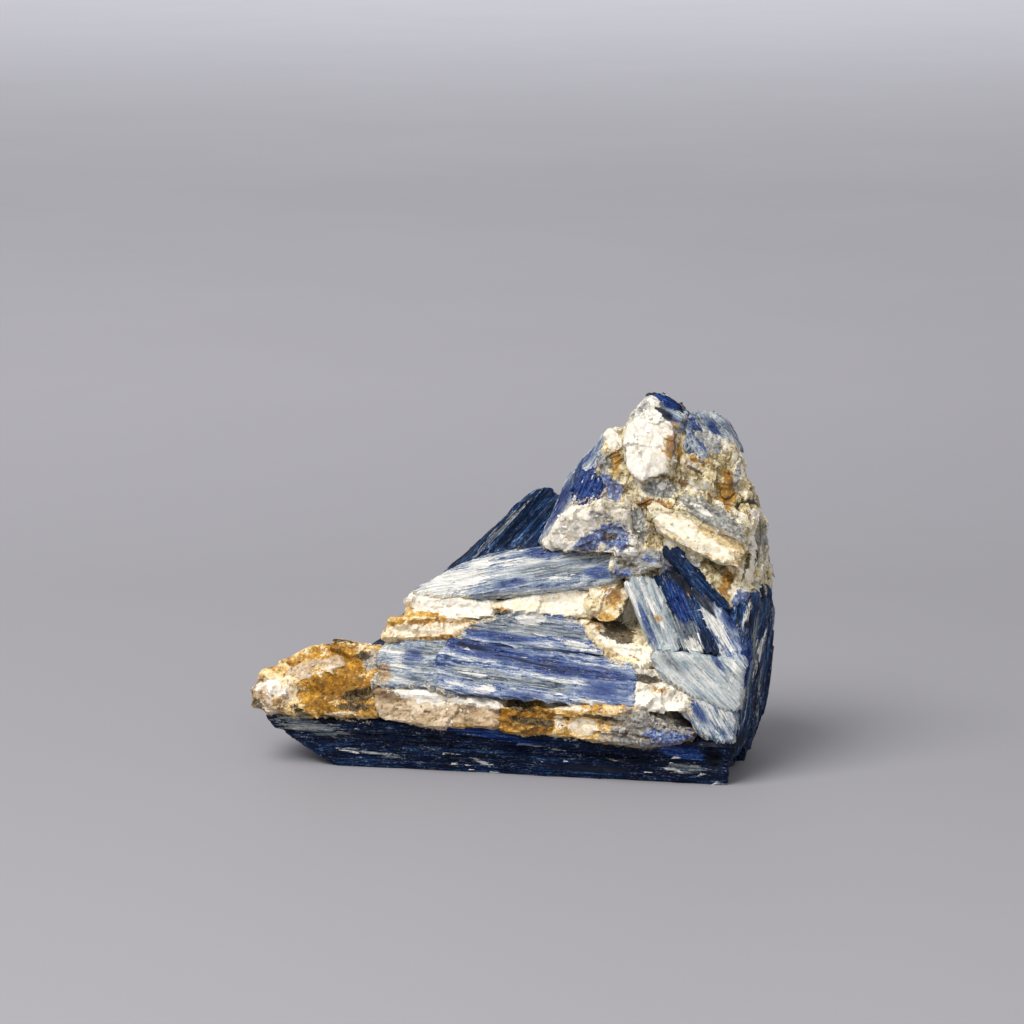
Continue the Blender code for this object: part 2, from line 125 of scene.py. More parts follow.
def facets_of(node):
    """The hull's middle, its outward facet directions, their distances from the middle, and its corners."""
    hull = bmesh.new()
    hull.from_mesh(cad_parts[node].data)
    bmesh.ops.remove_doubles(hull, verts=hull.verts, dist=SAME_CORNER)
    made = bmesh.ops.convex_hull(hull, input=hull.verts)
    inside = {v for v in made["geom_interior"] + made["geom_unused"] if isinstance(v, bmesh.types.BMVert)}
    bmesh.ops.delete(hull, geom=list(inside), context="VERTS")
    corners = np.array([v.co for v in hull.verts]) / MM
    middle = corners.mean(axis=0)
    normals, gaps, sizes = [], [], []
    for face in hull.faces:
        area = face.calc_area() / MM**2
        normal = np.array(face.normal)
        if area < LEAST_FACET:
            continue
        if normal @ (np.array(face.verts[0].co) / MM - middle) < 0:
            normal = -normal
        normals.append(normal)
        gaps.append((corners @ normal).max() - middle @ normal)
        sizes.append(area)
    hull.free()
    normals, gaps = np.array(normals), np.array(gaps)
    kept = []
    for index in np.argsort(sizes)[::-1]:  # the larger facet speaks for those nearly level with it
        if all(normals[index] @ normals[other] < NEARLY_LEVEL for other in kept):
            kept.append(index)
    return middle, normals[kept], gaps[kept], corners


FACETS = {node: facets_of(node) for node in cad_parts}
print("base_blade has", len(FACETS["base_blade"][2]), "facets about", np.round(FACETS["base_blade"][0], 1))

# %% [markdown]
# ## A box of fine squares
# The squares follow the crystal's grain, so a lath's edge runs along a row of them. They are small at the
# face that shows and grow wider towards the hidden side, which keeps the mesh light.


# %% The box
def rungs(low, high, step, stretch=1.0):
    """Places from low to high: step apart at the high end, and stretch times that at the low end."""
    even = stretch == 1.0
    rate = 1.0 if even else math.log(stretch) / (stretch - 1)
    count = max(3, math.ceil((high - low) * rate / step))
    part = np.linspace(0, 1, count + 1)
    if not even:
        part = (stretch**part - 1) / (stretch - 1)
    return (high - (high - low) * part)[::-1]


def box_of_squares(us, vs, ws):
    """The surface of a lattice: every point with at least one end coordinate, and its outward squares."""
    shape = (len(us), len(vs), len(ws))
    shown = np.ones(shape, bool)
    shown[1:-1, 1:-1, 1:-1] = False
    index = np.full(shape, -1)
    index[shown] = np.arange(shown.sum())
    places = np.stack(np.meshgrid(us, vs, ws, indexing="ij"), axis=-1)[shown]
    squares = []
    for axis, end in itertools.product(range(3), (0, -1)):
        sheet = np.take(index, end, axis=axis)
        loop = [sheet[:-1, :-1], sheet[1:, :-1], sheet[1:, 1:], sheet[:-1, 1:]]
        outward = (end == -1) == (axis != 1)
        squares.append(np.stack(loop if outward else loop[::-1], axis=-1).reshape(-1, 4))
    return places, np.concatenate(squares)


print("a box of 3 x 4 x 5 squares has", len(box_of_squares(*map(np.arange, (4, 5, 6)))[1]), "faces")

# %% [markdown]
# ## Pulling the box in to the facets
# A point pulled straight in stops at the first facet it meets. Taken strictly, that gives knife edges. The
# facets share each point a little here, so that their edges are slightly worn, as on a real crystal.


# %% The skin of one crystal
def unit(vector):
    vector = np.array(vector, float)
    return vector / np.linalg.norm(vector)


def axes_of(along, facing):
    """Three square axes: u along the grain, w out of the face that shows, and v across."""
    u = unit(along)
    w = unit(np.array(facing) - u * (u @ np.array(facing)))
    return np.array([u, np.cross(w, u), w])


def skin(node, along, facing, step, stretch, crisp):
    """The crystal's surface as points, squares and outward directions, and its three axes.

    A point q of the box meets facet i at q / r with r = n.q / d. The largest r is the facet it meets first.
    The sum of r^crisp, to the power 1 / crisp, is nearly that largest r, with the edges between facets
    rounded: a high crisp gives sharp edges.
    """
    middle, normals, gaps, corners = FACETS[node]
    axes = axes_of(along, facing)
    spread = (corners - middle) @ axes.T
    low, high = spread.min(axis=0), spread.max(axis=0)
    us, vs = rungs(low[0], high[0], step), rungs(low[1], high[1], step)
    box, squares = box_of_squares(us, vs, rungs(low[2], high[2], step, stretch))
    ratio = np.clip((box @ axes) @ normals.T / gaps, 1e-6, None)
    first = ratio.max(axis=1, keepdims=True)
    share = (ratio / first) ** crisp
    meet = first[:, 0] * share.sum(axis=1) ** (1 / crisp)
    outward = share @ normals
    outward /= np.linalg.norm(outward, axis=1, keepdims=True)
    return middle + (box @ axes) / meet[:, None], squares, outward, axes


sample, _, sample_outward, sample_axes = skin("base_blade", (1, -0.18, 0), (0, -1, 0.3), 0.5, 4, 40)
print("a coarse skin of base_blade has", len(sample), "points")

# %% [markdown]
# ## Growing together
# Crystals that grew against each other leave no groove: the join is filled, and a break runs across both.
# So a point that lies near another crystal is lifted a little. How near it is also tells the finishes where
# two minerals meet, because there they are mixed in small bits.

# %% The join between two crystals
JOIN = 2.8  # how far from a neighbour the filling starts
MIXED = 2.6  # how far two unlike minerals mix


def join_of(node, points, unlike):
    """How much the filling lifts each point, and how much its mineral is mixed, from 0 to 1.

    The distance to a neighbour is the largest of n.(p - middle) - d over its facets. The filling is that of
    a rounded union of two solids, (JOIN - distance)^2 / (4 JOIN), from the neighbour that fills most. Only
    unlike neighbours, quartz against kyanite, are mixed.
    """
    lift, mixed = np.zeros(len(points)), np.zeros(len(points))
    for other, (middle, normals, gaps, _) in FACETS.items():
        if other != node:
            distance = np.abs(((points - middle) @ normals.T - gaps).max(axis=1))
            lift = np.maximum(lift, np.clip(JOIN - distance, 0, None) ** 2 / (4 * JOIN))
            if other in unlike:
                mixed = np.maximum(mixed, 1 - rise(distance, 0, MIXED))
    return lift, mixed


print("greatest filling:", JOIN / 4, "mm")

# %% [markdown]
# ## How kyanite breaks
# Kyanite splits along its length into laths with flat sides, and a lath snaps across now and then. A face is
# therefore a set of narrow steps that run one way, each step broken into lengths, and the end of a blade is
# a bunch of splinters. The same rule is used three times over, for wide, middling and fine laths.

# %% Relief of the laths
LATHS = (  # width across, depth of the steps, usual length before a break
    (3.4, 0.60, 44.0),
    (1.3, 0.32, 22.0),
    (0.55, 0.14, 11.0),
)
SPLINTER = 1.5  # how far the ends of the laths differ
LEVEL, STEP, SLOPE, LEAN = 0.8, 0.35, 0.5, 0.9  # shares of the depth: a lath's, a length's, its two tilts


def lath_relief(seed, u, v, w, endness):
    """How far each point sinks, and a tint from 0 to 1 for its lath.

    A lath is a cell of the cross-section, floor(v / width) by floor(w / width), where the laths are bent a
    little and their widths vary. It is cut aslant in lengths by floor((u + slant x across) / length), and
    each lath has a usual length of its own. The chance of a lath sets its depth, and that of a length adds a
    step, a slope along it and a lean across it.
    """
    places = np.stack([u, v, w], axis=1)
    bend = cloud(seed, places / (24, 9, 9)) + 0.25 * cloud(seed + 1, places / (8, 3, 3))
    sink, tint = np.zeros(len(u)), np.zeros(len(u))
    for order, (width, depth, length) in enumerate(LATHS):
        across = (v + bend) / width + 0.35 * np.sin(v * 1.9 / width + seed)
        down = (w + bend * 0.7) / (width * 0.8) + 0.3 * np.sin(w * 2.1 / width)
        column, row = np.floor(across), np.floor(down)
        usual = length * (0.5 + chance(seed + 12 + order, column, row))
        slant = 5 * width * (chance(seed + 15 + order, column, row) - 0.5)
        run = (u + slant * (across - column)) / usual + 9 * chance(seed + 10 + order, column, row)
        piece = np.floor(run)
        level = chance(seed + 20 + order, column, row)
        step = chance(seed + 35 + order, column, row, piece) - 0.5
        slope = chance(seed + 37 + order, column, row, piece) - 0.5
        lean = chance(seed + 30 + order, column, row, piece) - 0.5
        sink += depth * (LEVEL * (level - 0.5) + STEP * step + SLOPE * slope * (run - piece - 0.5))
        sink += depth * LEAN * lean * (across - column - 0.5)
        sink += endness * SPLINTER * width / LATHS[0][0] * (chance(seed + 40 + order, column, row) - 0.4)
        tint += (0.7 * level + 0.3 * (step + 0.5)) / len(LATHS)
    return sink, tint


lath_sink = lath_relief(1, *(sample @ sample_axes.T).T, 0)[0]
print("as laths, base_blade sinks by", round(lath_sink.min(), 2), "to", round(lath_sink.max(), 2), "mm")

# %% [markdown]
# ## How quartz breaks
# Quartz and feldspar here are packed grains with no grain direction. Each grain shows one or two small flat
# breaks that lean any way, with a crevice between neighbours. Space is filled with scattered seeds, one to a
# cell, and a point belongs to the nearest seed, which gives grains of many shapes.


# %% Relief of the grains
def grains(seed, places, size):
    """The nearest seed's chance, the offset from it, and how near the point is to a grain boundary."""
    scaled = places / size
    cell = np.floor(scaled).astype(np.int64)
    nearest = np.full(len(places), 9.0)
    second = nearest.copy()
    own = np.zeros(len(places))
    offset = np.zeros(places.shape)
    for step in itertools.product((-1, 0, 1), repeat=3):
        other = cell + step
        jitter = np.stack([chance(seed + axis, *other.T) for axis in range(3)], axis=1)
        away = scaled - other - jitter
        distance = np.linalg.norm(away, axis=1)
        closer = distance < nearest
        second = np.where(closer, nearest, np.minimum(second, distance))
        nearest = np.where(closer, distance, nearest)
        own = np.where(closer, chance(seed + 5, *other.T), own)
        offset = np.where(closer[:, None], away, offset)
    return own, offset * size, second - nearest


GRAINS = (  # size of a grain, depth of its breaks, depth of the crevice round some, share of the tint
    (6.5, 1.05, 0.0, 0.5),
    (2.3, 0.46, 0.16, 0.3),
    (0.9, 0.17, 0.07, 0.2),
)
LONG_GRAINS, ROUND_GRAINS = (0.42, 1.5, 1.0), (0.85, 1.0, 1.0)  # how space is squeezed along u, v and w


def grain_relief(seed, places, layered):
    """How far each point sinks, a tint for its grain, and how much it lies in a crevice.

    Every grain is a flat break, chance + lean.offset, that meets its neighbour in a step. Layered grains are
    drawn out along u and thin through v. Some of the middling grains lie in a hollow of their own.
    """
    bend = np.stack([cloud(seed + 50 + axis, places / 2.6) for axis in range(3)], axis=1)
    places = (places + 0.9 * bend) * (LONG_GRAINS if layered else ROUND_GRAINS)
    sink, tint, hollow = np.zeros(len(places)), np.zeros(len(places)), np.zeros(len(places))
    for order, (size, depth, cleft, share) in enumerate(GRAINS):
        own, offset, rim = grains(seed + 7 * order, places, size)
        lean = np.stack([np.sin(own * 91), np.sin(own * 57 + 2), np.sin(own * 73 + 4)], axis=1)
        crevice = (1 - rise(rim, 0.0, 0.16)) * rise(own, 0.35, 0.6)
        sink += depth * (0.6 * (own - 0.5) + 0.8 * (offset * lean).sum(axis=1) / size) + crevice * cleft
        tint += own * share
        hollow = np.maximum(hollow, crevice * (cleft > 0) + 0.5 * rise(own, 0.75, 1.0) * (order == 1))
    return sink, tint, hollow


grain_sink = grain_relief(1, sample, False)[0]
print("as grains, base_blade sinks by", round(grain_sink.min(), 2), "to", round(grain_sink.max(), 2), "mm")

# %% [markdown]
# ## Where colours lie
# Every crystal has its own rust stains, white breaks, deep blue streaks, grey weathered patches and grime;
# where the grime sits in a dent or cavity, its dark is painted shade.
# Each is a soft spot on the face that shows: what it is, where its middle lies from left to right and in
# height, how long and how broad it is, how it leans in degrees, and how strong it is. The finish later gives
# each spot a crisp ragged edge. A dent is a spot that sinks in.

# %% Spots on each crystal: kind, x, z, length, breadth, lean, strength
SPOTS = {
    "base_blade": (
        ("grey", -33, 6.5, 7, 1.4, -10, 0.9), ("grey", -22, 2.4, 6, 0.5, -6, 0.8),
        ("white", -27, 2.6, 3, 0.3, -8, 0.8), ("white", -5, 1.8, 2.2, 0.4, -15, 1.0),
        ("blue", -7, 7, 15, 0.9, -8, 1.0), ("grey", 4, 5, 6, 0.3, -8, 0.8),
        ("white", 17, 3, 3, 0.3, -18, 0.7), ("grey", 21, 6, 9, 0.9, -4, 0.9),
        ("blue", 27, 5.2, 5, 1.2, -6, 1.1), ("grey", 28, 2.6, 3.6, 1.2, 0, 0.8),
        ("white", 26, 2.2, 2, 0.4, -8, 0.8), ("grime", 32.5, 4, 1.4, 1.5, 0, 1.3),
        ("dent", 32.5, 4, 1.1, 1.3, 0, 1.8), ("grime", 12, 1.6, 12, 0.7, 0, 0.7),
    ),
    "stained_quartz_tip": (
        ("rust", -28, 18, 6, 1.2, 0, 0.9), ("grime", -29, 19.2, 5, 0.45, 0, 0.9),
        ("rust", -26.4, 15.9, 2.4, 1.5, 0, 1.4), ("rust", -29, 13, 7.5, 2.4, 6, 1.1),
        ("grime", -25, 12.2, 3.4, 1.1, 10, 1.2), ("dent", -25, 12.2, 3, 0.8, 10, 1.0),
        ("white", -29, 8.9, 2.6, 0.5, 10, 1.2), ("grime", -34, 8.8, 2.8, 0.8, -30, 1.0),
        ("grey", -23.2, 17, 1.8, 1.5, 0, 1.0), ("white", -37.4, 12.2, 2.6, 2.2, 0, 0.9),
        ("rust", -32, 10.6, 4, 1.6, 0, 0.9), ("grime", -26, 10.4, 3.4, 0.8, 0, 0.9),
        ("grime", -24.4, 17.6, 1.6, 0.8, 0, 0.9), ("dent", -35.5, 16, 4, 1.4, 30, 0.9),
        ("dent", -31, 12.6, 6, 1.2, 8, 0.5),
    ),
    "tip_end_quartz": (
        ("white", -38.6, 13, 1.8, 1.3, 0, 1.4), ("grime", -41.5, 9.8, 2, 0.8, -45, 0.8),
        ("rust", -38, 10.4, 1.3, 1.2, 0, 0.8), ("white", -41.5, 13, 1.6, 0.8, 10, 0.8),
        ("dent", -40.5, 14.4, 4, 1, 15, 0.7),
    ),
    "tip_ledge_quartz": (("rust", -30, 15.2, 3, 0.5, 15, 0.8),),
    "beige_quartz": (
        ("white", -16, 13.4, 5, 1.3, -16, 1.6), ("white", -7, 12, 5, 0.6, -8, 1.2),
        ("rust", -18, 14.7, 3.5, 0.8, -5, 1.0), ("rust", -6, 8.2, 6, 0.5, -3, 0.6),
    ),
    "brown_quartz_band": (
        ("rust", 1, 10.2, 4.5, 1.1, -5, 1.1), ("grime", 3.5, 9.4, 4.4, 0.7, -5, 1.2),
        ("grime", 1, 11.4, 3, 0.5, -5, 1.0), ("grime", 14, 10.6, 4, 0.4, -5, 1.0),
        ("grey", 18, 8, 4, 0.8, -5, 0.9), ("white", 11.5, 9, 2.4, 1.4, 0, 1.2),
        ("white", 7.7, 9.4, 1.2, 1, 0, 1.1), ("rust", 16.4, 9.8, 2.6, 0.5, -4, 0.9),
        ("grey", 22, 9.2, 7, 1.8, -6, 1.5), ("blue", 25, 8, 5, 0.9, -6, 1.1),
        ("white", 25, 10.6, 4, 0.4, -12, 1.0), ("grime", 20, 8, 4, 0.4, -8, 0.8),
        ("white", 4, 12, 9, 0.4, -5, 1.1), ("grey", 22.5, 6.8, 8, 1.2, -5, 1.7),
        ("blue", 27, 6.6, 4, 0.8, -5, 1.2),
    ),
    "front_left_blade": (
        ("blue", -16.3, 17.8, 2.4, 0.9, 0, 0.9), ("white", -18.7, 16.9, 2, 1.2, 0, 0.8),
        ("grey", -13.5, 16.4, 3, 1, -5, 0.7), ("rust", -17, 13, 5.5, 0.7, -3, 1.0),
        ("blue", -9, 14, 3, 0.8, -5, 0.9), ("rust", -21, 15.5, 1.5, 1.5, 0, 0.9),
        ("grey", -11, 18.4, 5, 0.9, -5, 1.0), ("grey", -15, 14.6, 4, 0.7, -5, 0.9),
    ),
    "front_main_blade": (
        ("blue", -6.5, 19.4, 5.5, 0.9, -9, 2.0), ("blue", 0.5, 18.1, 4, 0.8, -9, 1.8),
        ("blue", 7, 17.2, 5, 0.9, -8, 1.8), ("blue", 14, 16.3, 5, 0.8, -7, 1.7),
        ("grime", 3, 17.6, 9, 0.2, -9, 1.0), ("grime", -6, 19.3, 4.5, 0.4, -9, 0.8),
        ("white", -4, 17, 4, 0.3, -12, 0.7), ("grey", -5, 15.8, 6, 1.1, -6, 1.1),
        ("grey", 4, 14.8, 8, 0.8, -6, 0.9), ("white", -6, 15.8, 3, 0.4, -6, 0.9),
        ("white", -4, 14, 1.6, 0.7, 0, 1.3), ("blue", 2, 13.2, 5.5, 0.8, -5, 0.7),
        ("blue", 14.5, 13.8, 6, 2.4, -6, 0.65), ("white", 12.5, 12.6, 5, 0.25, -4, 1.1),
        ("white", 9, 15.3, 4, 0.25, -7, 0.9), ("white", 2, 11.7, 7, 0.5, -7, 1.1),
        ("rust", 13.5, 10.9, 6, 0.4, -3, 1.0), ("grime", 12, 11.5, 5, 0.2, -3, 0.9),
    ),
    "front_upper_blade": (
        ("grey", -1, 22.4, 8, 1.6, 2, 1.2), ("blue", -3, 21, 7, 0.8, -3, 1.1),
        ("grey", 9, 21.6, 5, 0.9, -10, 0.9), ("grime", -1, 22.4, 5, 0.7, 0, 0.5),
        ("white", 3.2, 23.6, 2.1, 0.9, 5, 1.9), ("rust", -6.8, 23, 2, 1.3, 15, 1.0),
        ("white", 10, 20.2, 4.5, 0.6, -10, 0.9),
    ),
    "white_quartz": (
        ("white", -10, 25.4, 8, 2.4, 4, 1.3), ("rust", -13, 23.3, 3.5, 0.5, 4, 1.0),
        ("rust", -17, 24.6, 1.4, 1.8, 0, 0.9), ("grey", -6, 27, 3, 0.7, 15, 0.6),
    ),
    "layered_quartz": (
        ("rust", -14, 22.6, 5.5, 0.4, 4, 0.9), ("white", -14, 21.5, 6, 0.9, 3, 1.9),
        ("rust", -13.5, 20.4, 5.5, 0.35, 3, 0.9), ("white", -14, 19.4, 6, 0.8, 2, 1.9),
        ("rust", -14, 18.7, 4.5, 0.4, 2, 1.0), ("grime", -9, 20, 2.2, 0.5, 12, 1.0),
    ),
    "cream_wedge": (
        ("white", 6, 25.8, 8, 1.9, 8, 1.3), ("rust", -2.5, 24.6, 3, 0.6, 10, 0.9),
        ("rust", 12, 27.6, 1.6, 0.8, 0, 0.8), ("rust", 4, 28.2, 6, 0.35, 10, 0.7),
    ),
    "yellow_quartz_grain": (
        ("rust", 16.6, 27.6, 2.4, 1.8, 0, 1.1), ("rust", 15.6, 24.6, 2, 0.8, 0, 1.1),
        ("grime", 17.8, 24, 0.7, 2, 0, 1.1),
    ),
    "centre_feldspar": (
        ("grime", 17.3, 21.9, 2.7, 1, -12, 1.3), ("dent", 17.3, 21.9, 2.2, 0.9, -12, 1.7),
        ("rust", 13.3, 23.6, 1.8, 1, -20, 1.0), ("white", 17.5, 20.2, 4, 0.9, -22, 1.2),
        ("rust", 20.5, 18.6, 3, 0.4, -20, 0.8), ("white", 21, 19.8, 2, 0.6, -20, 0.9),
    ),
    "corner_quartz": (
        ("grime", 21.8, 16, 2.6, 0.6, -5, 1.3), ("dent", 21.8, 16, 2.2, 0.5, -5, 1.4),
        ("white", 23.4, 12.8, 3.4, 1.4, 0, 1.5), ("rust", 24.5, 14.5, 1.8, 0.8, 0, 0.9),
        ("grey", 22, 17.6, 2.4, 0.8, -5, 0.9), ("grey", 26.5, 13, 1.4, 1.4, 0, 0.8),
    ),
    "ridge_blade": (
        ("white", -11, 28, 7, 1.7, 17, 1.4), ("white", -5, 31, 4, 0.9, 20, 1.0),
        ("grey", 7, 31.2, 7, 1.1, 6, 1.0), ("grey", 15, 33, 3.6, 1.2, 0, 1.1),
        ("blue", 5, 33.2, 3.4, 0.8, 8, 1.1), ("blue", 0, 29, 4, 0.7, 12, 0.8),
        ("white", 0, 31.6, 4, 0.6, 16, 0.8), ("blue", 14, 31.2, 2.4, 0.8, 0, 1.1),
        ("white", 8, 30.2, 4, 0.35, 5, 0.8), ("rust", 1, 26.9, 8, 0.4, 9, 1.0),
        ("blue", -9, 30, 3, 0.4, 20, 0.8),
    ),
    "back_blade": (
        ("grey", -2, 35, 8, 0.5, 45, 0.9), ("white", 1.5, 38.5, 4, 0.3, 45, 0.8),
        ("grey", 2, 42, 4, 0.4, 45, 0.8),
    ),
    "ridge_end_grain": (
        ("grey", 20.5, 33, 5, 2, 0, 1.4), ("blue", 18, 31.4, 1.6, 0.6, 0, 1.1),
        ("blue", 22.4, 34, 1, 0.6, 0, 1.1), ("grime", 23, 31.8, 2.4, 0.8, 0, 1.0),
        ("grime", 18, 33, 1.4, 0.5, 0, 0.9), ("white", 17, 34.2, 1.6, 0.5, 0, 0.9),
    ),
    "granular_knot": (
        ("white", 9.2, 38.6, 3.4, 3, 0, 1.8), ("blue", 12.4, 35.8, 1.8, 1.2, 35, 2.4),
        ("blue", 16.4, 37.4, 2.8, 2.4, 0, 1.2), ("grey", 14, 40.8, 2.4, 1, 0, 0.8),
        ("grime", 16, 37.4, 1.6, 1, 0, 0.8), ("rust", 8, 40, 1.6, 0.6, 0, 0.6),
    ),
    "tower_outer_blade": (
        ("white", 10.5, 47, 2.6, 0.5, 58, 0.8), ("white", 13.5, 51, 2.4, 0.5, 58, 0.9),
        ("blue", 7.5, 40, 6, 1.1, 58, 1.1), ("blue", 12, 48, 4, 0.7, 58, 1.0),
        ("grime", 15, 50.5, 1.2, 0.8, 0, 0.7), ("grey", 9, 43.6, 6, 0.9, 58, 0.9),
    ),
    "tower_deep_blade": (("blue", 12.2, 44.2, 3.4, 3.4, 0, 1.6), ("white", 10.4, 42.6, 1.4, 0.4, 60, 0.9)),
    "shoulder_quartz": (
        ("grey", 14.7, 48.3, 1.8, 2.2, 0, 1.2), ("blue", 16.2, 44.2, 2.2, 2.6, 0, 1.0),
        ("rust", 17.2, 48.7, 0.7, 2.4, 0, 0.8), ("white", 16.6, 52.3, 1.4, 2, 0, 1.0),
        ("grime", 15, 47.6, 1, 1, 0, 0.7),
    ),
    "peak_quartz": (
        ("white", 21.2, 51, 3.2, 5, 0, 1.5), ("rust", 25.8, 52, 1.1, 3, 0, 1.2),
        ("grey", 23.8, 47.4, 2, 1.5, 0, 1.1), ("grey", 20.5, 57.6, 2.6, 1, 30, 1.0),
        ("grime", 20, 46.2, 1.3, 0.9, 0, 0.8),
    ),
    "cap_blade": (("dent", 25, 60, 4, 3, -30, 0.5), ("blue", 24.5, 59, 3, 1.6, -30, 1.2)),
    "cap_lower_blade": (
        ("grey", 24.5, 57.4, 3, 0.8, -30, 1.0), ("grime", 24.5, 57, 3, 1, -30, 0.9),
        ("blue", 26, 56.4, 2, 0.8, -30, 0.8), ("rust", 26.2, 53.8, 1.6, 2, 0, 1.3),
    ),
    "fan_blades": (
        ("blue", 30.2, 54, 3.4, 0.8, -67, 1.2), ("grey", 31, 54.4, 5, 2.6, -67, 0.8),
        ("white", 31.6, 53, 2.6, 0.3, -70, 1.3), ("blue", 33.2, 53.6, 3, 0.8, -60, 1.0),
        ("rust", 27.4, 52.6, 1, 2.4, 15, 1.3), ("rust", 34, 50.6, 1.6, 0.7, 0, 0.8),
        ("grime", 31, 51, 2, 0.5, 0, 0.5), ("dent", 31, 57.5, 6, 3, -40, 0.5),
        ("grey", 30, 55.4, 3, 1.4, -67, 0.8),
    ),
    "feldspar_grain": (
        ("white", 27, 39.4, 4.6, 0.9, -24, 0.9), ("white", 33, 36.4, 4, 0.9, -24, 0.9),
        ("rust", 29, 36.6, 5, 0.3, -24, 0.9), ("rust", 33, 39.2, 4, 0.35, -26, 0.9),
    ),
    "grey_quartz_band": (
        ("grey", 33, 40.8, 7, 2, -27, 1.2), ("white", 31, 42.2, 2, 0.5, -27, 1.0),
        ("rust", 34.5, 38.8, 3, 0.35, -27, 1.0),
    ),
    "tower_tan_grain": (
        ("rust", 27.4, 51.4, 1.4, 2.4, 0, 1.4), ("rust", 30, 49.6, 3, 0.9, -15, 0.8),
        ("grime", 32, 46.8, 2.6, 0.25, -35, 1.3), ("grime", 29.6, 48.4, 2, 0.25, -30, 1.1),
        ("white", 28.8, 49.4, 1.6, 0.7, -20, 1.0), ("grey", 31.4, 52.8, 2.6, 1.6, -50, 1.3),
        ("blue", 31.4, 53, 1.6, 0.8, -60, 1.0),
    ),
    "tower_flank_grain": (
        ("grey", 39.8, 36, 4, 1, 80, 1.0), ("white", 39, 39.4, 2, 0.8, 80, 1.2),
        ("rust", 38.6, 41.2, 1, 0.8, 0, 0.9), ("grime", 39.4, 34, 3.4, 0.3, 80, 1.2),
    ),
    "quartz_mass": (
        ("rust", 35.2, 45, 1.3, 3, 0, 1.3), ("rust", 34, 42, 1.7, 1.3, 0, 1.2),
        ("rust", 23, 42.8, 3, 1.2, -10, 1.3), ("rust", 28.2, 46.2, 1, 0.7, 0, 1.2),
        ("grey", 24, 45.2, 2.8, 1.5, 0, 1.3), ("white", 24.6, 45.7, 1, 0.6, 0, 1.0),
        ("grey", 20.5, 38.8, 2, 3.2, 0, 1.1), ("grey", 31.4, 52.8, 2.6, 1.6, -50, 1.3),
        ("grey", 36.5, 47, 0.9, 2.4, 0, 0.9), ("grime", 38, 42.5, 1.5, 0.9, 0, 1.4),
        ("dent", 38, 42.5, 1.3, 0.8, 0, 1.5), ("white", 39, 40.9, 1.9, 0.6, -20, 1.3),
        ("white", 39.4, 35, 0.8, 4.2, 0, 1.1), ("grime", 38, 33, 3.4, 0.3, 80, 1.0),
        ("grey", 40.8, 36, 0.7, 3.4, 0, 0.9), ("grime", 29.8, 30.2, 6.8, 0.7, -50, 1.6),
        ("dent", 29.8, 30.2, 6.8, 0.6, -50, 2.0), ("rust", 35, 30.4, 2.6, 0.9, 70, 1.4),
        ("grey", 23, 34, 2.6, 1.5, 0, 1.2), ("blue", 25.5, 31.8, 2.2, 1.2, -60, 1.0),
        ("rust", 27, 52, 1, 2.4, 0, 1.1), ("grey", 28.5, 34, 2.4, 1.2, -20, 1.0),
        ("white", 19.4, 25.4, 1.6, 2.6, 0, 1.0), ("grime", 19.5, 32.6, 2.6, 0.8, 0, 0.8),
        ("white", 38.6, 25.5, 1, 2, 0, 1.1), ("blue", 37, 28, 0.8, 2.4, 0, 0.9),
    ),
    "diagonal_left_blade": (
        ("blue", 22, 24, 4.5, 0.7, -66, 1.1), ("white", 19, 27.4, 5, 1.1, -66, 1.4),
        ("white", 22, 28, 4, 0.6, -66, 0.9), ("grey", 23, 25.4, 5, 0.7, -66, 0.9),
        ("rust", 23.6, 25, 1, 0.7, 0, 1.0), ("white", 23.4, 26, 4, 0.5, -66, 0.8),
    ),
    "diagonal_middle_blade": (
        ("blue", 27, 27.6, 3.6, 1.4, -62, 1.4), ("white", 24.8, 27.4, 3.6, 0.3, -62, 1.0),
        ("grey", 26.4, 24, 4, 1, -62, 1.0), ("grey", 28.4, 22.6, 2.6, 1.8, -60, 1.3),
        ("white", 29.4, 21, 2, 1.2, -50, 1.2), ("rust", 28.6, 28.8, 1.4, 0.3, -60, 0.8),
        ("grime", 27.5, 30.5, 3, 0.8, -45, 1.2),
    ),
    "diagonal_right_blade": (
        ("white", 32.6, 22, 5.4, 0.35, -51, 1.3), ("blue", 32.8, 20.2, 3, 0.6, -48, 1.4),
        ("white", 33, 24.2, 4, 1.1, -50, 1.2), ("grey", 30.6, 24, 3, 0.8, -50, 1.0),
        ("rust", 30, 26.6, 1.6, 0.35, -55, 1.0), ("white", 34.6, 21.6, 2, 0.8, -50, 0.9),
        ("blue", 35, 24.5, 2.4, 0.5, -55, 0.8), ("grime", 31, 28, 3.2, 0.7, -50, 1.4),
    ),
    "corner_blade": (
        ("grey", 25.6, 18.8, 3, 1, -40, 0.9), ("blue", 33, 19, 2.6, 0.5, -48, 1.1),
        ("white", 35.5, 17, 3.4, 0.4, 75, 0.9),
    ),
    "corner_foot_blade": (
        ("blue", 28.8, 12.8, 4.4, 0.9, -50, 1.0), ("white", 33.8, 11.6, 4, 0.8, 78, 1.0),
        ("grime", 30.4, 15, 3.6, 0.3, -14, 1.2),
    ),
    "side_front_blade": (
        ("blue", 37.6, 18, 8, 0.7, 78, 1.2), ("white", 38, 26, 3, 0.4, 75, 1.0),
        ("white", 40.2, 19, 6, 0.3, 78, 0.8), ("grime", 36.5, 6, 2, 2, 0, 1.0),
        ("grey", 38.8, 18, 9, 0.7, 79, 0.9),
    ),
    "side_rear_blade": (("grey", 40, 12, 6, 0.5, 79, 0.9),),
}
KINDS = ("white", "blue", "rust", "grime", "grey", "dent")
print(sum(len(spots) for spots in SPOTS.values()), "spots on", len(SPOTS), "crystals")

# %% [markdown]
# ## Reading the spots
# A spot is strongest in its middle and fades away over its length and breadth. Where spots of a kind
# overlap, the stronger one counts, so their order doesn't matter.


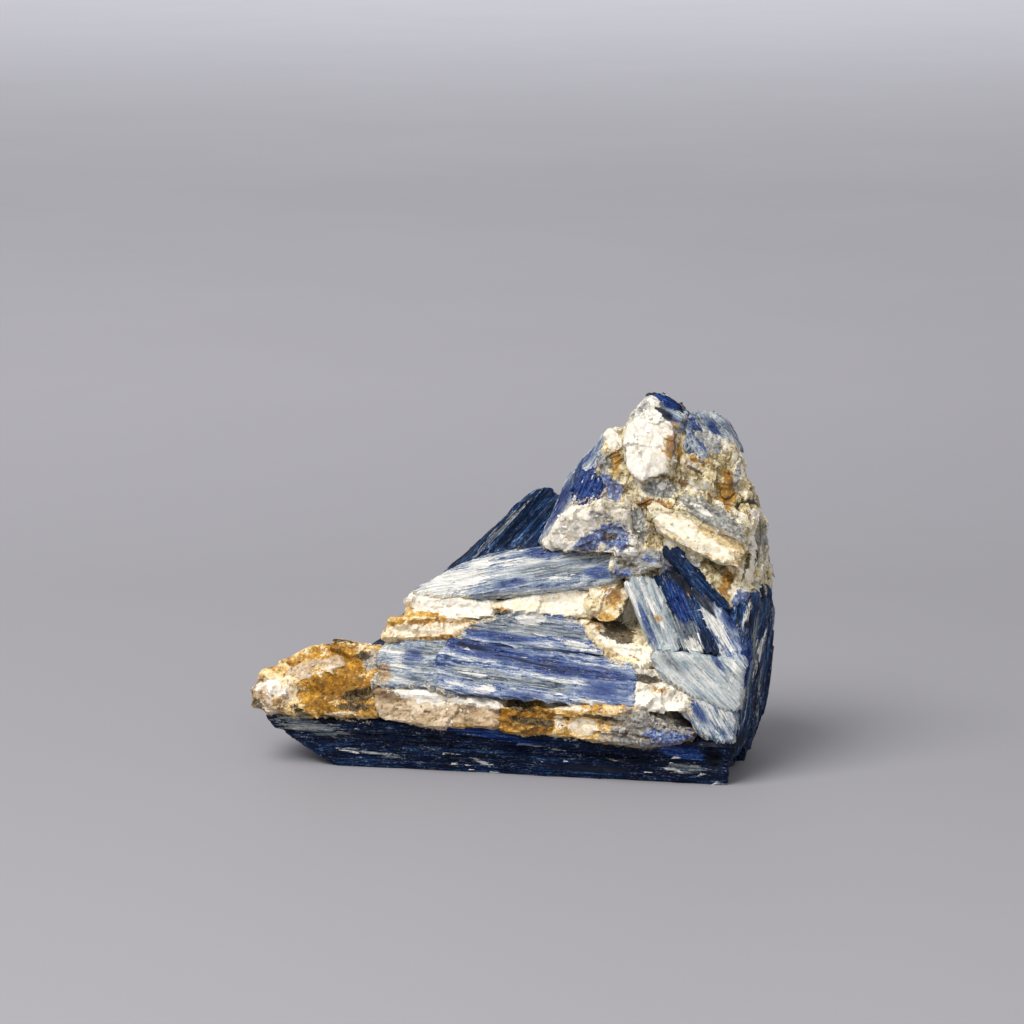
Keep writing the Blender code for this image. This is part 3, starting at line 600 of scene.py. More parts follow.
# %% The spots at every point
def spot_masks(node, points, outward):
    """For each kind, the strongest spot at each point: strength x exp(-(a/length)^2 - (b/breadth)^2).

    a and b run along and across the spot, and only faces that look to the front take part.
    """
    masks = {kind: np.zeros(len(points)) for kind in KINDS}
    to_front = rise(-outward[:, 1] + 0.4 * outward[:, 2], -0.1, 0.35)
    for kind, x, z, length, breadth, lean, strength in SPOTS.get(node, ()):
        turn = math.radians(lean)
        right, up = points[:, 0] - x, points[:, 2] - z
        a = right * math.cos(turn) + up * math.sin(turn)
        b = up * math.cos(turn) - right * math.sin(turn)
        near = strength * np.exp(-((a / length) ** 2) - (b / breadth) ** 2) * to_front
        masks[kind] = np.maximum(masks[kind], near)
    return masks


grey_points = (spot_masks("base_blade", sample, sample_outward)["grey"] > 0.5).sum()
print(grey_points, "of base_blade's", len(sample), "points are well inside a grey spot")

# %% [markdown]
# ## Finishes
# A finish is a small network of nodes. Writing it as sums keeps it readable: a wire is wrapped in a class
# that adds the right Math node when it is added, subtracted or multiplied.


# %% Wires
class Wire:
    """One output of a node. Sums on it add Math nodes."""

    def __init__(self, finish, socket):
        self.finish, self.socket = finish, socket

    def maths(self, operation, first, second):
        return self.finish.node("ShaderNodeMath", {"operation": operation}, {0: first, 1: second})

    def __add__(self, other):
        return self.maths("ADD", self, other)

    def __sub__(self, other):
        return self.maths("SUBTRACT", self, other)

    def __rsub__(self, other):
        return self.maths("SUBTRACT", other, self)

    def __mul__(self, other):
        return self.maths("MULTIPLY", self, other)

    __radd__, __rmul__ = __add__, __mul__

    def rise(self, low, high):
        """From 0 at low to 1 at high, easing in and out."""
        settings = {"interpolation_type": "SMOOTHSTEP"}
        return self.finish.node("ShaderNodeMapRange", settings, {0: self, 1: low, 2: high})


print("a wire knows", [name for name in vars(Wire) if not name.startswith("_")], "and sums")

# %% [markdown]
# ## Colours
# Colours are written as they look on a screen. A shader works with light, so each is turned into light by
# the usual screen curve. Shades are colours set along a ramp, to be picked from by noise.


# %% Tones and shades
def light_of(part):
    """The light behind one part of a screen colour, 0 to 255."""
    if part < 11:
        return part / 255 / 12.92
    return ((part / 255 + 0.055) / 1.055) ** 2.4


def tone(red, green, blue):
    """A screen colour as the light it stands for."""
    return light_of(red), light_of(green), light_of(blue)


def shades(*stops):
    """Stops of a ramp, each written as its place and a screen colour."""
    return [(place, tone(*colour)) for place, *colour in stops]


print("middle grey as light:", tone(128, 128, 128))

# %% [markdown]
# ## A finish as a class
# The class below hides how nodes are made and joined. What repeats in every finish has a name here: noise
# stretched along the grain, a spot with a ragged edge, and a layer of colour laid over what is there.


# %% Finish
class Finish:
    """A material whose shader is fed by wires."""

    def __init__(self, name):
        self.material = bpy.data.materials.new(name)
        self.material.use_nodes = True
        self.tree = self.material.node_tree
        self.shader = self.tree.nodes["Principled BSDF"]

    def feed(self, socket, value):
        if isinstance(value, Wire):
            self.tree.links.new(value.socket, socket)
        else:
            socket.default_value = value

    def node(self, kind, settings=None, sockets=None, output=0):
        made = self.tree.nodes.new(kind)
        for name, value in (settings or {}).items():
            setattr(made, name, value)
        for name, value in (sockets or {}).items():
            self.feed(made.inputs[name], value)
        return Wire(self, made.outputs[output])

    def attribute(self, name, vector=False):
        return self.node("ShaderNodeAttribute", {"attribute_name": name}, output=1 if vector else 2)

    def object_place(self):
        return self.node("ShaderNodeTexCoord", output=3)

    def stretched(self, vector, stretch):
        return self.node("ShaderNodeVectorMath", {"operation": "MULTIPLY"}, {0: vector, 1: stretch})

    def cells(self, vector, stretch):
        """A shade from 0 to 1 for each small cell of space, 1 / stretch long on each axis."""
        sockets = {"Vector": self.stretched(vector, stretch), "Scale": 1.0}
        found = self.node("ShaderNodeTexVoronoi", sockets=sockets, output=1)
        return self.node("ShaderNodeSeparateColor", sockets={0: found})

    def noise(self, vector, stretch, detail=4, roughness=0.6):
        """Noise whose features are 1 / stretch long on each axis."""
        vector = self.stretched(vector, stretch)
        sockets = {"Vector": vector, "Scale": 1.0, "Detail": detail, "Roughness": roughness}
        return self.node("ShaderNodeTexNoise", sockets=sockets)

    def spot(self, name, low, high, *ragged):
        """A spot with a crisp edge: its soft strength, made ragged by noise, eases in from low to high."""
        strength = self.attribute(name)
        for part in ragged:
            strength = strength + part
        return strength.rise(low, high)

    def ramp(self, value, stops):
        wire = self.node("ShaderNodeValToRGB", sockets={"Fac": value})
        elements = wire.socket.node.color_ramp.elements
        while len(elements) < len(stops):
            elements.new(0.5)
        for element, (place, colour) in zip(elements, stops):
            element.position, element.color = place, (*colour, 1)
        return wire

    def mix(self, amount, under, over):
        """Two colours: under where the amount is 0, over where it is 1."""
        under, over = ((*c, 1) if isinstance(c, tuple) else c for c in (under, over))
        return self.node("ShaderNodeMix", {"data_type": "RGBA"}, {0: amount, 6: under, 7: over}, output=2)

    def layer(self, under, amount, value, stops):
        """Shades picked from the stops by a value, laid over a colour by an amount."""
        return self.mix(amount, under, self.ramp(value, stops))

    def bump(self, height, distance, strength):
        sockets = {"Height": height, "Distance": distance, "Strength": strength}
        return self.node("ShaderNodeBump", sockets=sockets)

    def set(self, **values):
        for name, value in values.items():
            self.feed(self.shader.inputs[name.replace("_", " ")], value)

    def mineral(self, colour, dull, gloss, height, distance):
        """Feeds the shader of a mineral, whose finest roughness is felt as bumps that deep in metres."""
        normal = self.bump(height, distance, 0.8)
        self.set(Base_Color=colour, Roughness=dull, Specular_IOR_Level=gloss, Normal=normal)
        return self.material


print("a finish knows", [name for name in vars(Finish) if not name.startswith("_")])

# %% [markdown]
# ## The finish of kyanite
# Kyanite is never one blue. The colour sits in streaks along the blade, from navy through cornflower to
# silvery white, and each lath has its own strength. Clean breaks are glassy, weathered ones pearly and dull.
# Over the blue come weathered and white spots, veins of rust, crumbs of quartz at the joins, dirt, painted
# white glints, and painted shade in the dents, in the cavities and between the laths.

# %% Kyanite
# The dark colour serves grime and painted shade in the hollows.
WHITE_BREAK_AND_GLINT, DIRT_AND_SHADE = tone(236, 233, 224), tone(22, 24, 32)
CHALKY = ((0.40, tone(172, 173, 172)), (0.58, WHITE_BREAK_AND_GLINT))
STREAK = shades((0.38, 3, 14, 50), (0.52, 9, 44, 112), (0.66, 62, 98, 156), (0.80, 142, 160, 184))
SLATE = shades((0.37, 42, 54, 70), (0.47, 92, 103, 114), (0.57, 142, 147, 147), (0.70, 206, 203, 190))
RUSTED = shades((0.38, 88, 62, 32), (0.50, 166, 122, 60), (0.64, 224, 192, 130))
CRUMBS = shades((0.40, 58, 56, 54), (0.48, 138, 126, 102), (0.56, 206, 194, 166), (0.66, 242, 238, 228))
KYANITE_BUMP = 0.0003


def kyanite(name, palette, paleness, contrast, gloss):
    """Slivers and streaks drawn out along the grain choose a colour from the palette, dark to pale.

    paleness is the usual place on the palette, and contrast is how far the streaks stray from it.
    """
    finish = Finish(name)
    grain = finish.attribute("grain", vector=True)
    tint, hollow = finish.attribute("tint"), finish.attribute("hollow")
    bands = finish.noise(grain, (0.05, 0.8, 0.8), 4)
    streaks = finish.noise(grain, (0.22, 2.8, 2.8), 5, 0.72)
    hairs = finish.noise(grain, (0.8, 7.5, 7.5), 4, 0.7)
    patches = finish.noise(grain, (0.28, 0.5, 0.5), 5, 0.65)
    sugar = finish.noise(finish.stretched(finish.object_place(), (1 / MM,) * 3), (2.8, 2.8, 2.8), 4, 0.8)
    sliver = finish.cells(grain, (0.09, 1.6, 1.6))
    thread = finish.cells(grain, (0.24, 4.4, 4.4))

    lathed = (sliver - 0.5) * 0.32 + (thread - 0.5) * 0.34 + (streaks - 0.5) * 1.1 + (hairs - 0.5) * 1.2
    lathed = lathed + (sugar - 0.5) * 0.8
    amount = (lathed + (bands - 0.5) * 1.1 + (patches - 0.5)) * contrast + (tint - 0.5) * 0.45 + paleness
    colour = finish.ramp(amount, palette)

    torn, blotched = lathed * 0.8, (patches - 0.5) * 0.8
    fibres = streaks * 0.3 + hairs * 0.25 + sugar * 0.25 + thread * 0.2
    slate = finish.spot("grey", 0.40, 0.60, torn)
    colour = finish.layer(colour, slate * 0.85, fibres, SLATE)
    blue = finish.spot("blue", 0.46, 0.62, torn)
    colour = finish.layer(colour, blue * 0.9, fibres, STREAK)
    # Painted glints: tiny white flecks where light would catch the lath facets, most of them on pale
    # kyanite.
    painted_glints = (hairs * 0.6 + sugar * 0.55).rise(0.62, 0.70) * (patches.rise(0.45, 0.65) * 0.7 + 0.15)
    colour = finish.mix(painted_glints * 1.3 * paleness, colour, WHITE_BREAK_AND_GLINT)
    white = finish.spot("white", 0.50, 0.68, torn)
    colour = finish.layer(colour, white * 0.92, fibres, CHALKY)

    vein = finish.noise(grain, (0.3, 1.7, 1.7), 3, 0.6).rise(0.64, 0.69) * patches.rise(0.52, 0.6) * 0.4
    rust = finish.spot("rust", 0.44, 0.66, torn, blotched) * 0.8
    colour = finish.layer(colour, vein + rust * (1 - vein), hairs * 0.5 + sugar * 0.5, RUSTED)
    crumbs = finish.spot("mixed", 0.90, 1.04, (patches - 0.5) * 3.0, sugar - 0.5)
    colour = finish.layer(colour, crumbs * 0.88, sugar * 0.6 + hairs * 0.45, CRUMBS)
    # Grime spots and painted shade: dents, cavities and the deepest-sunk laths are darkened towards the dark
    # colour.
    grime = finish.spot("grime", 0.4, 0.66, blotched, (sugar - 0.5) * 0.6)
    colour = finish.mix(grime * 0.9 + hollow * 0.5 * (1 - grime), colour, DIRT_AND_SHADE)

    dull = 0.24 + (streaks - 0.4) * 0.6 + white * 0.15 + slate * 0.15 + grime * 0.3 + crumbs * 0.2
    height = sliver * 0.25 + thread * 0.3 + hairs * 0.3 + sugar * 0.2
    return finish.mineral(colour, dull, gloss, height, KYANITE_BUMP)


print("kyanite's streaks run from", STREAK[0][1], "to", STREAK[-1][1])

# %% [markdown]
# ## Five kinds of kyanite
# The blades range from nearly black to pale slate. Each kind is the same finish with its own shades, so they
# all read as one mineral.

# %% The kyanites
KYANITES = {  # shades from dark to pale, paleness, contrast, gloss
    # The darkest kyanite: navy darkened further as painted shade, for the shaded front of the base blade and
    # for the cap.
    "kyanite_navy_and_shade": (
        shades((0.0, 1, 6, 18), (0.40, 3, 18, 48), (0.62, 12, 46, 86), (0.82, 60, 92, 116),
               (1.0, 140, 155, 157)),
        0.30, 0.8, 0.1,
    ),
    "kyanite_deep": (
        shades((0.0, 2, 12, 30), (0.34, 9, 35, 68), (0.58, 24, 63, 114), (0.8, 76, 109, 146),
               (1.0, 176, 186, 190)),
        0.32, 0.9, 0.18,
    ),
    "kyanite_pale": (
        shades((0.0, 26, 46, 76), (0.25, 80, 99, 128), (0.48, 132, 144, 158), (0.72, 187, 190, 191),
               (1.0, 232, 229, 220)),
        0.55, 1.0, 0.3,
    ),
    "kyanite_plate": (
        shades((0.0, 52, 74, 96), (0.25, 108, 130, 144), (0.48, 164, 172, 174), (0.72, 198, 200, 197),
               (1.0, 230, 228, 222)),
        0.56, 0.7, 0.4,
    ),
    "kyanite_violet": (
        shades((0.0, 12, 28, 62), (0.25, 50, 74, 124), (0.48, 102, 119, 154), (0.72, 160, 168, 180),
               (1.0, 228, 226, 218)),
        0.555, 1.05, 0.25,
    ),
}
MINERALS = {name: kyanite(name, *look) for name, look in KYANITES.items()}
print("kyanites:", *MINERALS)

# %% [markdown]
# ## The finish of quartz and feldspar
# Milky quartz is white where it broke cleanly and cream or tan where water has crept in. The rust follows
# the crevices between grains, so the colour reads the same grains that shaped the surface. Painted shade
# darkens the crevices too.

# %% Quartz and feldspar
ASH = shades((0.34, 66, 70, 74), (0.48, 120, 124, 126), (0.6, 166, 168, 166), (0.78, 220, 219, 212))
BLUE_BITS = shades((0.36, 12, 38, 116), (0.50, 50, 90, 166), (0.66, 124, 148, 184), (0.84, 208, 213, 214))
RUST = shades((0.55, 78, 52, 16), (0.66, 152, 100, 24), (0.75, 216, 160, 50), (0.90, 246, 218, 150))
DUSK = shades((0.3, 22, 17, 12), (0.6, 84, 72, 52), (0.85, 160, 148, 122))
SPECK_AND_SHADE = tone(84, 68, 46)
GRAIN_BUMP = 0.0004


def granular(name, palette, clean, stain, gloss, contrast=1.0):
    """Grain by grain a colour from the palette, pale to dark, with rust and painted shade in the crevices.

    clean holds the shades of a fresh white break, and stain is how much rust there is everywhere.
    """
    finish = Finish(name)
    grain = finish.attribute("grain", vector=True)
    tint, hollow, mixed = finish.attribute("tint"), finish.attribute("hollow"), finish.attribute("mixed")
    wide = finish.noise(grain, (0.16, 0.22, 0.22), 4)
    middling = finish.noise(grain, (0.6, 0.9, 0.9), 5, 0.7)
    fine = finish.noise(grain, (3.0, 4.0, 4.0), 4, 0.75)
    waves = finish.node("ShaderNodeTexNoise", sockets={"Vector": grain, "Scale": 1.2, "Detail": 3}, output=1)
    bent = finish.node("ShaderNodeVectorMath", {"operation": "ADD"}, {0: grain, 1: waves})
    sugar = finish.cells(bent, (1.1, 1.1, 1.1))
    crumb = finish.cells(bent, (2.6, 2.6, 2.6))

    varied = (wide - 0.5) * 0.9 + (middling - 0.5) * 1.0 + (tint - 0.5) * 0.6 + (sugar - 0.5) * 0.2
    shade = (varied + (crumb - 0.5) * 0.16 + (fine - 0.5) * 0.5) * contrast + 0.5
    colour = finish.ramp(shade, palette)

    ragged = (middling - 0.5) * 1.6 + (sugar - 0.5) * 0.3 + (fine - 0.5) * 0.8
    grey = finish.spot("grey", 0.42, 0.6, ragged)
    colour = finish.layer(colour, grey * 0.9, crumb * 0.3 + fine * 0.5 + middling * 0.3, ASH)
    white = finish.spot("white", 0.34, 0.52, ragged)
    colour = finish.layer(colour, white * 0.94, crumb * 0.3 + middling * 0.7, clean)
    blue = finish.spot("blue", 0.42, 0.58, ragged, mixed * 0.22 * (1 - white))
    colour = finish.layer(colour, blue * 0.9, crumb * 0.4 + fine * 0.7, BLUE_BITS)
    rust = finish.spot("rust", 0.42, 0.8, ragged, (wide - 0.5) * 0.8, hollow * 0.3, stain)
    rust = rust * (1 - grey * 0.7) * (1 - blue * 0.7)
    colour = finish.layer(colour, rust * 0.9, wide * 0.4 + middling * 0.5 + fine * 0.35 + crumb * 0.1, RUST)
    # Grime spots; where one sits in a dent or cavity, its dark is painted shade.
    grime = finish.spot("grime", 0.4, 0.6, ragged * 0.8)
    colour = finish.layer(colour, grime * 0.92, crumb * 0.5 + fine * 0.5, DUSK)
    specks = (crumb.rise(0.86, 0.9) * middling.rise(0.46, 0.56)) * 0.6 * (1 - white)
    # Painted shade: the crevices between grains are darkened towards the speck colour.
    crevice_shade = hollow * (fine * 0.9) * (1 - white * 0.7)
    colour = finish.mix(specks + crevice_shade * (1 - specks), colour, SPECK_AND_SHADE)

    dull = 0.24 + sugar * 0.3 + rust * 0.25 + grime * 0.15
    height = middling * 0.35 + fine * 0.35 + crumb * 0.2 + sugar * 0.1
    return finish.mineral(colour, dull, gloss, height, GRAIN_BUMP)


print("rust runs from", RUST[0][1], "to", RUST[-1][1])

# %% [markdown]
# ## Five kinds of grain
# Milky and beige quartz, quartz long weathered, quartz stained by rust, and feldspar, which breaks cleaner
# and is creamier.

# %% The quartzes and feldspar
GRANULAR = {  # shades from pale to dark, shades of a clean break, stain, gloss, contrast
    "milky_quartz": (
        shades((0.25, 252, 248, 238), (0.5, 236, 226, 204), (0.68, 202, 190, 162), (0.9, 140, 132, 114)),
        shades((0.36, 232, 220, 198), (0.54, 253, 248, 236)),
        -0.1, 0.4,
    ),
    "beige_quartz": (
        shades((0.25, 234, 214, 185), (0.5, 200, 172, 136), (0.68, 170, 141, 104), (0.9, 112, 90, 62)),
        shades((0.36, 244, 230, 206), (0.54, 255, 251, 242)),
        -0.08, 0.35, 0.8,
    ),
    "weathered_quartz": (
        shades((0.2, 250, 243, 224), (0.4, 235, 221, 184), (0.54, 214, 195, 148), (0.68, 176, 158, 112),
               (0.85, 108, 95, 66)),
        shades((0.36, 226, 216, 196), (0.54, 252, 248, 238)),
        0.0, 0.3, 1.3,
    ),
    "stained_quartz": (
        shades((0.25, 246, 224, 178), (0.46, 216, 170, 88), (0.62, 170, 120, 44), (0.85, 86, 58, 22)),
        shades((0.36, 222, 198, 160), (0.54, 252, 240, 216)),
        0.1, 0.15,
    ),
    "feldspar": (
        shades((0.25, 252, 243, 220), (0.48, 240, 221, 178), (0.66, 217, 189, 136), (0.88, 146, 120, 76)),
        shades((0.36, 240, 224, 188), (0.54, 254, 248, 232)),
        -0.1, 0.35, 0.8,
    ),
}
MINERALS |= {name: granular(name, *look) for name, look in GRANULAR.items()}
print("finishes in all:", len(MINERALS))

# %% [markdown]
# ## The crystals
# Each crystal needs only its mineral and, for kyanite, which way its laths run. The squares are small where
# the crystal shows and grow wider towards the inside of the lump.

# %% Which mineral, and which way the grain runs
FRONT, BACK, RIGHT = (0, -1, 0.4), (0, 1, 0.1), (1, -0.6, 0)
FAN = (4.5, -7, -10.5)
CRYSTALS = {  # mineral slot, direction along the grain, the way it faces
    "base_blade": ("kyanite_deep", (1, -0.18, 0), FRONT),
    "front_main_blade": ("kyanite_violet", (1, -0.16, -0.12), FRONT),
    "front_left_blade": ("kyanite_pale", (1, -0.15, -0.1), FRONT),
    "front_upper_blade": ("kyanite_violet", (1, -0.12, -0.1), FRONT),
    "ridge_blade": ("kyanite_pale", (1, -0.1, 0.2), FRONT),
    "diagonal_left_blade": ("kyanite_pale", FAN, FRONT),
    "diagonal_middle_blade": ("kyanite_deep", FAN, FRONT),
    "diagonal_right_blade": ("kyanite_violet", (7, -7, -11), FRONT),
    "corner_blade": ("kyanite_pale", (6, -2.5, -6), FRONT),
    "corner_foot_blade": ("kyanite_pale", (5, -2.5, -8), FRONT),
    "side_front_blade": ("kyanite_deep", (3.5, 8, 21), RIGHT),
    "side_rear_blade": ("kyanite_deep", (4, 5, 25), RIGHT),
    "tower_outer_blade": ("kyanite_pale", (11, -0.5, 18.5), FRONT),
    "tower_deep_blade": ("kyanite_deep", (4, 1, 9), FRONT),
    "crack_blade": ("kyanite_deep", (9, -4, -9.5), FRONT),
    "cap_blade": ("kyanite_deep", (6, -1.5, -3), FRONT),
    "cap_lower_blade": ("kyanite_pale", (4.5, -1.5, -2.5), FRONT),
    "fan_blades": ("kyanite_pale", (3, 0, -7), FRONT),
    "back_blade": ("kyanite_deep", (30, 1, 33), BACK),
    "back_middle_blade": ("kyanite_violet", (22, 1, 30), BACK),
    "back_right_blade": ("kyanite_pale", (3, 0, 36), BACK),
    "back_foot_blade": ("kyanite_deep", (1, 0.02, 0.02), BACK),
    "flank_blade": ("kyanite_pale", (-1, 0, 20), (1, 0.3, 0)),
    "stained_quartz_tip": ("stained_quartz", (1, 0, 0), FRONT),
    "tip_end_quartz": ("milky_quartz", (1, 0, 0), FRONT),
    "tip_ledge_quartz": ("milky_quartz", (8.5, 0, 2.4), FRONT),
    "beige_quartz": ("milky_quartz", (1, -0.2, 0), FRONT),
    "brown_quartz_band": ("stained_quartz", (1, -0.16, 0), FRONT),
    "white_quartz": ("milky_quartz", (1, 0, 0), FRONT),
    "layered_quartz": ("stained_quartz", (1, 0, 0), FRONT),
    "cream_wedge": ("feldspar", (1, -0.1, 0.1), FRONT),
    "yellow_quartz_grain": ("stained_quartz", (1, 0, 0), FRONT),
    "centre_feldspar": ("feldspar", (1, -0.4, -0.3), FRONT),
    "corner_quartz": ("milky_quartz", (1, 0, 0), FRONT),
    "granular_knot": ("milky_quartz", (1, 0, 0), FRONT),
    "shoulder_quartz": ("milky_quartz", (0, 0, 1), FRONT),
    "peak_quartz": ("milky_quartz", (0, 0, 1), FRONT),
    "feldspar_grain": ("feldspar", (1, -0.2, -0.4), FRONT),
    "grey_quartz_band": ("milky_quartz", (10, -3, -5), FRONT),
    "tower_tan_grain": ("milky_quartz", (1, 0.1, -0.5), FRONT),
    "tower_flank_grain": ("milky_quartz", (2, -1.5, -11), FRONT),
    "ridge_end_grain": ("milky_quartz", (1, -0.1, 0.1), FRONT),
    "quartz_mass": ("milky_quartz", (0, 0, 1), FRONT),
    "rear_quartz": ("stained_quartz", (1, 0, 0), BACK),
}
print("all crystals named:", sorted(CRYSTALS) == sorted(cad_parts))

# %% [markdown]
# ## Sizes and exceptions
# Most crystals follow the rules above as they are. The tables here hold those that don't: grains that lie in
# layers, cleaner breaks, kyanite with fewer crumbs in it, and finishes that differ from the usual ones.

# %% Sizes and exceptions
USUAL_SQUARE = 0.33
SQUARE = {"base_blade": 0.32, "quartz_mass": 0.36, "rear_quartz": 0.5}
STRETCH_BEHIND, STRETCH_LATHS, STRETCH_GRAINS = 2, 5, 3.2  # how much wider the hidden squares are
CRISP_LATHS, CRISP_GRAINS = 60, 40
SHARP_LATHS, SHARP_GRAINS = math.radians(24), math.radians(32)  # edges bent more than this look sharp
SWELL = 0.15  # closes the parting to the neighbours
LOWEST = 0.02
ROLLS = ((3, 6.5, 0.35), (4, 2.5, 0.2))  # seed, width and height of the waves that cross every join
ROLL_SHARE = 0.8
LAYERED = (
    "layered_quartz", "beige_quartz", "brown_quartz_band", "white_quartz", "feldspar_grain",
    "tip_ledge_quartz", "grey_quartz_band", "tower_flank_grain",
)
SMOOTHER = {  # clean breaks keep only this much of the usual relief
    "cream_wedge": 0.35, "feldspar_grain": 0.6, "centre_feldspar": 0.6, "beige_quartz": 0.5,
    "white_quartz": 0.7, "peak_quartz": 0.5, "corner_quartz": 0.8, "yellow_quartz_grain": 0.7,
    "stained_quartz_tip": 0.65, "tip_end_quartz": 0.7, "tip_ledge_quartz": 0.7, "grey_quartz_band": 0.7,
    "corner_blade": 0.4, "corner_foot_blade": 0.5,
}
PURER = {"fan_blades": 0.4, "cap_lower_blade": 0.5}  # kyanite that carries fewer crumbs of quartz
WEARERS = {  # crystals that differ from the rest of their mineral, by the finish they wear
    "kyanite_navy_and_shade": ("base_blade", "cap_blade"),
    "kyanite_plate": ("corner_blade", "diagonal_left_blade"),
    "beige_quartz": ("beige_quartz", "tip_end_quartz", "tip_ledge_quartz"),
    "feldspar": ("yellow_quartz_grain",),
    "weathered_quartz": (
        "quartz_mass", "shoulder_quartz", "ridge_end_grain", "tower_tan_grain", "tower_flank_grain",
        "grey_quartz_band",
    ),
}
OWN_FINISH = {node: finish for finish, nodes in WEARERS.items() for node in nodes}
print(len(OWN_FINISH), "crystals with a finish of their own")

# %% [markdown]
# ## Loose bits
# A broken surface is never clean. Splinters stand off the kyanite and crumbs of quartz cling to every ledge.
# They could be separate things, but each is a bit of the crystal it sits on, so it is part of that mesh.

# %% Splinters and chips
BOX_CORNERS = np.array(list(itertools.product((-1, 1), repeat=3)))
BOX_FACES = np.array([(0, 1, 3, 2), (4, 6, 7, 5), (0, 4, 5, 1), (2, 3, 7, 6), (0, 2, 6, 4), (1, 5, 7, 3)])
ONE_BIT_IN = 170  # points of the skin for every bit
SPLINTER_SIZE, CHIP_SIZE = (0.85, 0.16, 0.09), (0.34, 0.28, 0.20)  # half sizes of a middling one
SPLINTER_TILT, SPLINTER_TURN, CHIP_TURN = 0.3, 0.12, 0.9  # how far chance turns a bit's axes
NARROW_END = 0.35


def bits_on(seed, points, outward, axes, laths):
    """Small solid bits half sunk in the skin: which point each sits on, and its eight corners.

    A bit is a box, place + (+-a, +-b, +-c) along three square axes. A splinter lies along the grain and
    narrows to one end. A chip lies any way, and its corners are moved in by up to about half its size.
    """
    order = np.argsort(chance(seed, np.arange(len(points))))
    order = order[outward[order, 2] > -0.2]  # nothing clings to an overhang
    order = order[:len(points) // ONE_BIT_IN]
    shares = np.stack([chance(seed + 1 + part, order) for part in range(6)], axis=1)
    turned = 2 * shares[:, 3:] - 1
    out = outward[order] + (SPLINTER_TILT if laths else CHIP_TURN) * turned
    out /= np.linalg.norm(out, axis=1, keepdims=True)
    along = axes[0] + (SPLINTER_TURN if laths else CHIP_TURN) * turned[:, ::-1]
    along -= out * (along * out).sum(axis=1, keepdims=True)
    along /= np.linalg.norm(along, axis=1, keepdims=True)
    across = np.cross(out, along)
    half = np.array(SPLINTER_SIZE if laths else CHIP_SIZE) * (0.45 + 1.3 * shares[:, :3] ** 2)
    signs = np.repeat(BOX_CORNERS[None].astype(float), len(order), axis=0)
    if laths:
        signs[:, :, 0] += 1.2 * signs[:, :, 1] * half[:, None, 1] / half[:, None, 0]
        signs[:, :, 1] *= np.where(BOX_CORNERS[:, 0] > 0, NARROW_END, 1.0)
    else:
        number = np.arange(len(order))[:, None] * 8 + np.arange(8)
        signs *= 1 - 0.55 * np.stack([chance(seed + 9 + axis, number) for axis in range(3)], axis=2)
    reach = signs * half[:, None]
    bit_axes = np.stack([along, across, out], axis=1)
    return order, points[order][:, None] + np.einsum("nca,nax->ncx", reach, bit_axes)


print("a bit has", len(BOX_FACES), "faces")

# %% [markdown]
# ## Growing one crystal
# Everything comes together here. The skin is lifted where it joins its neighbours, rolls gently with the
# waves that cross the whole lump, and sinks by its own relief and its dents. The mesh keeps, at every point,
# what the finish needs: its place along the grain, its tint, and how strong each kind of spot is.


# %% Shape and mesh
def broken(seed, node, laths, points, outward, axes):
    """How far each point sinks, its tint, and how far it lies in a hollow, by the way its mineral breaks."""
    u, v, w = (points @ axes.T).T
    if not laths:
        return grain_relief(seed, np.stack([u, v, w], axis=1), node in LAYERED)
    endness = rise(np.abs(outward @ axes[0]), 0.45, 0.85)
    sink, tint = lath_relief(seed, u, v, w, endness)
    return sink, tint, rise(sink, 0.3, 0.6) * 0.7


def fill_attribute(mesh, name, values):
    vector = values.ndim == 2
    made = mesh.attributes.new(name, "FLOAT_VECTOR" if vector else "FLOAT", "POINT")
    made.data.foreach_set("vector" if vector else "value", values.astype(np.float32).ravel())


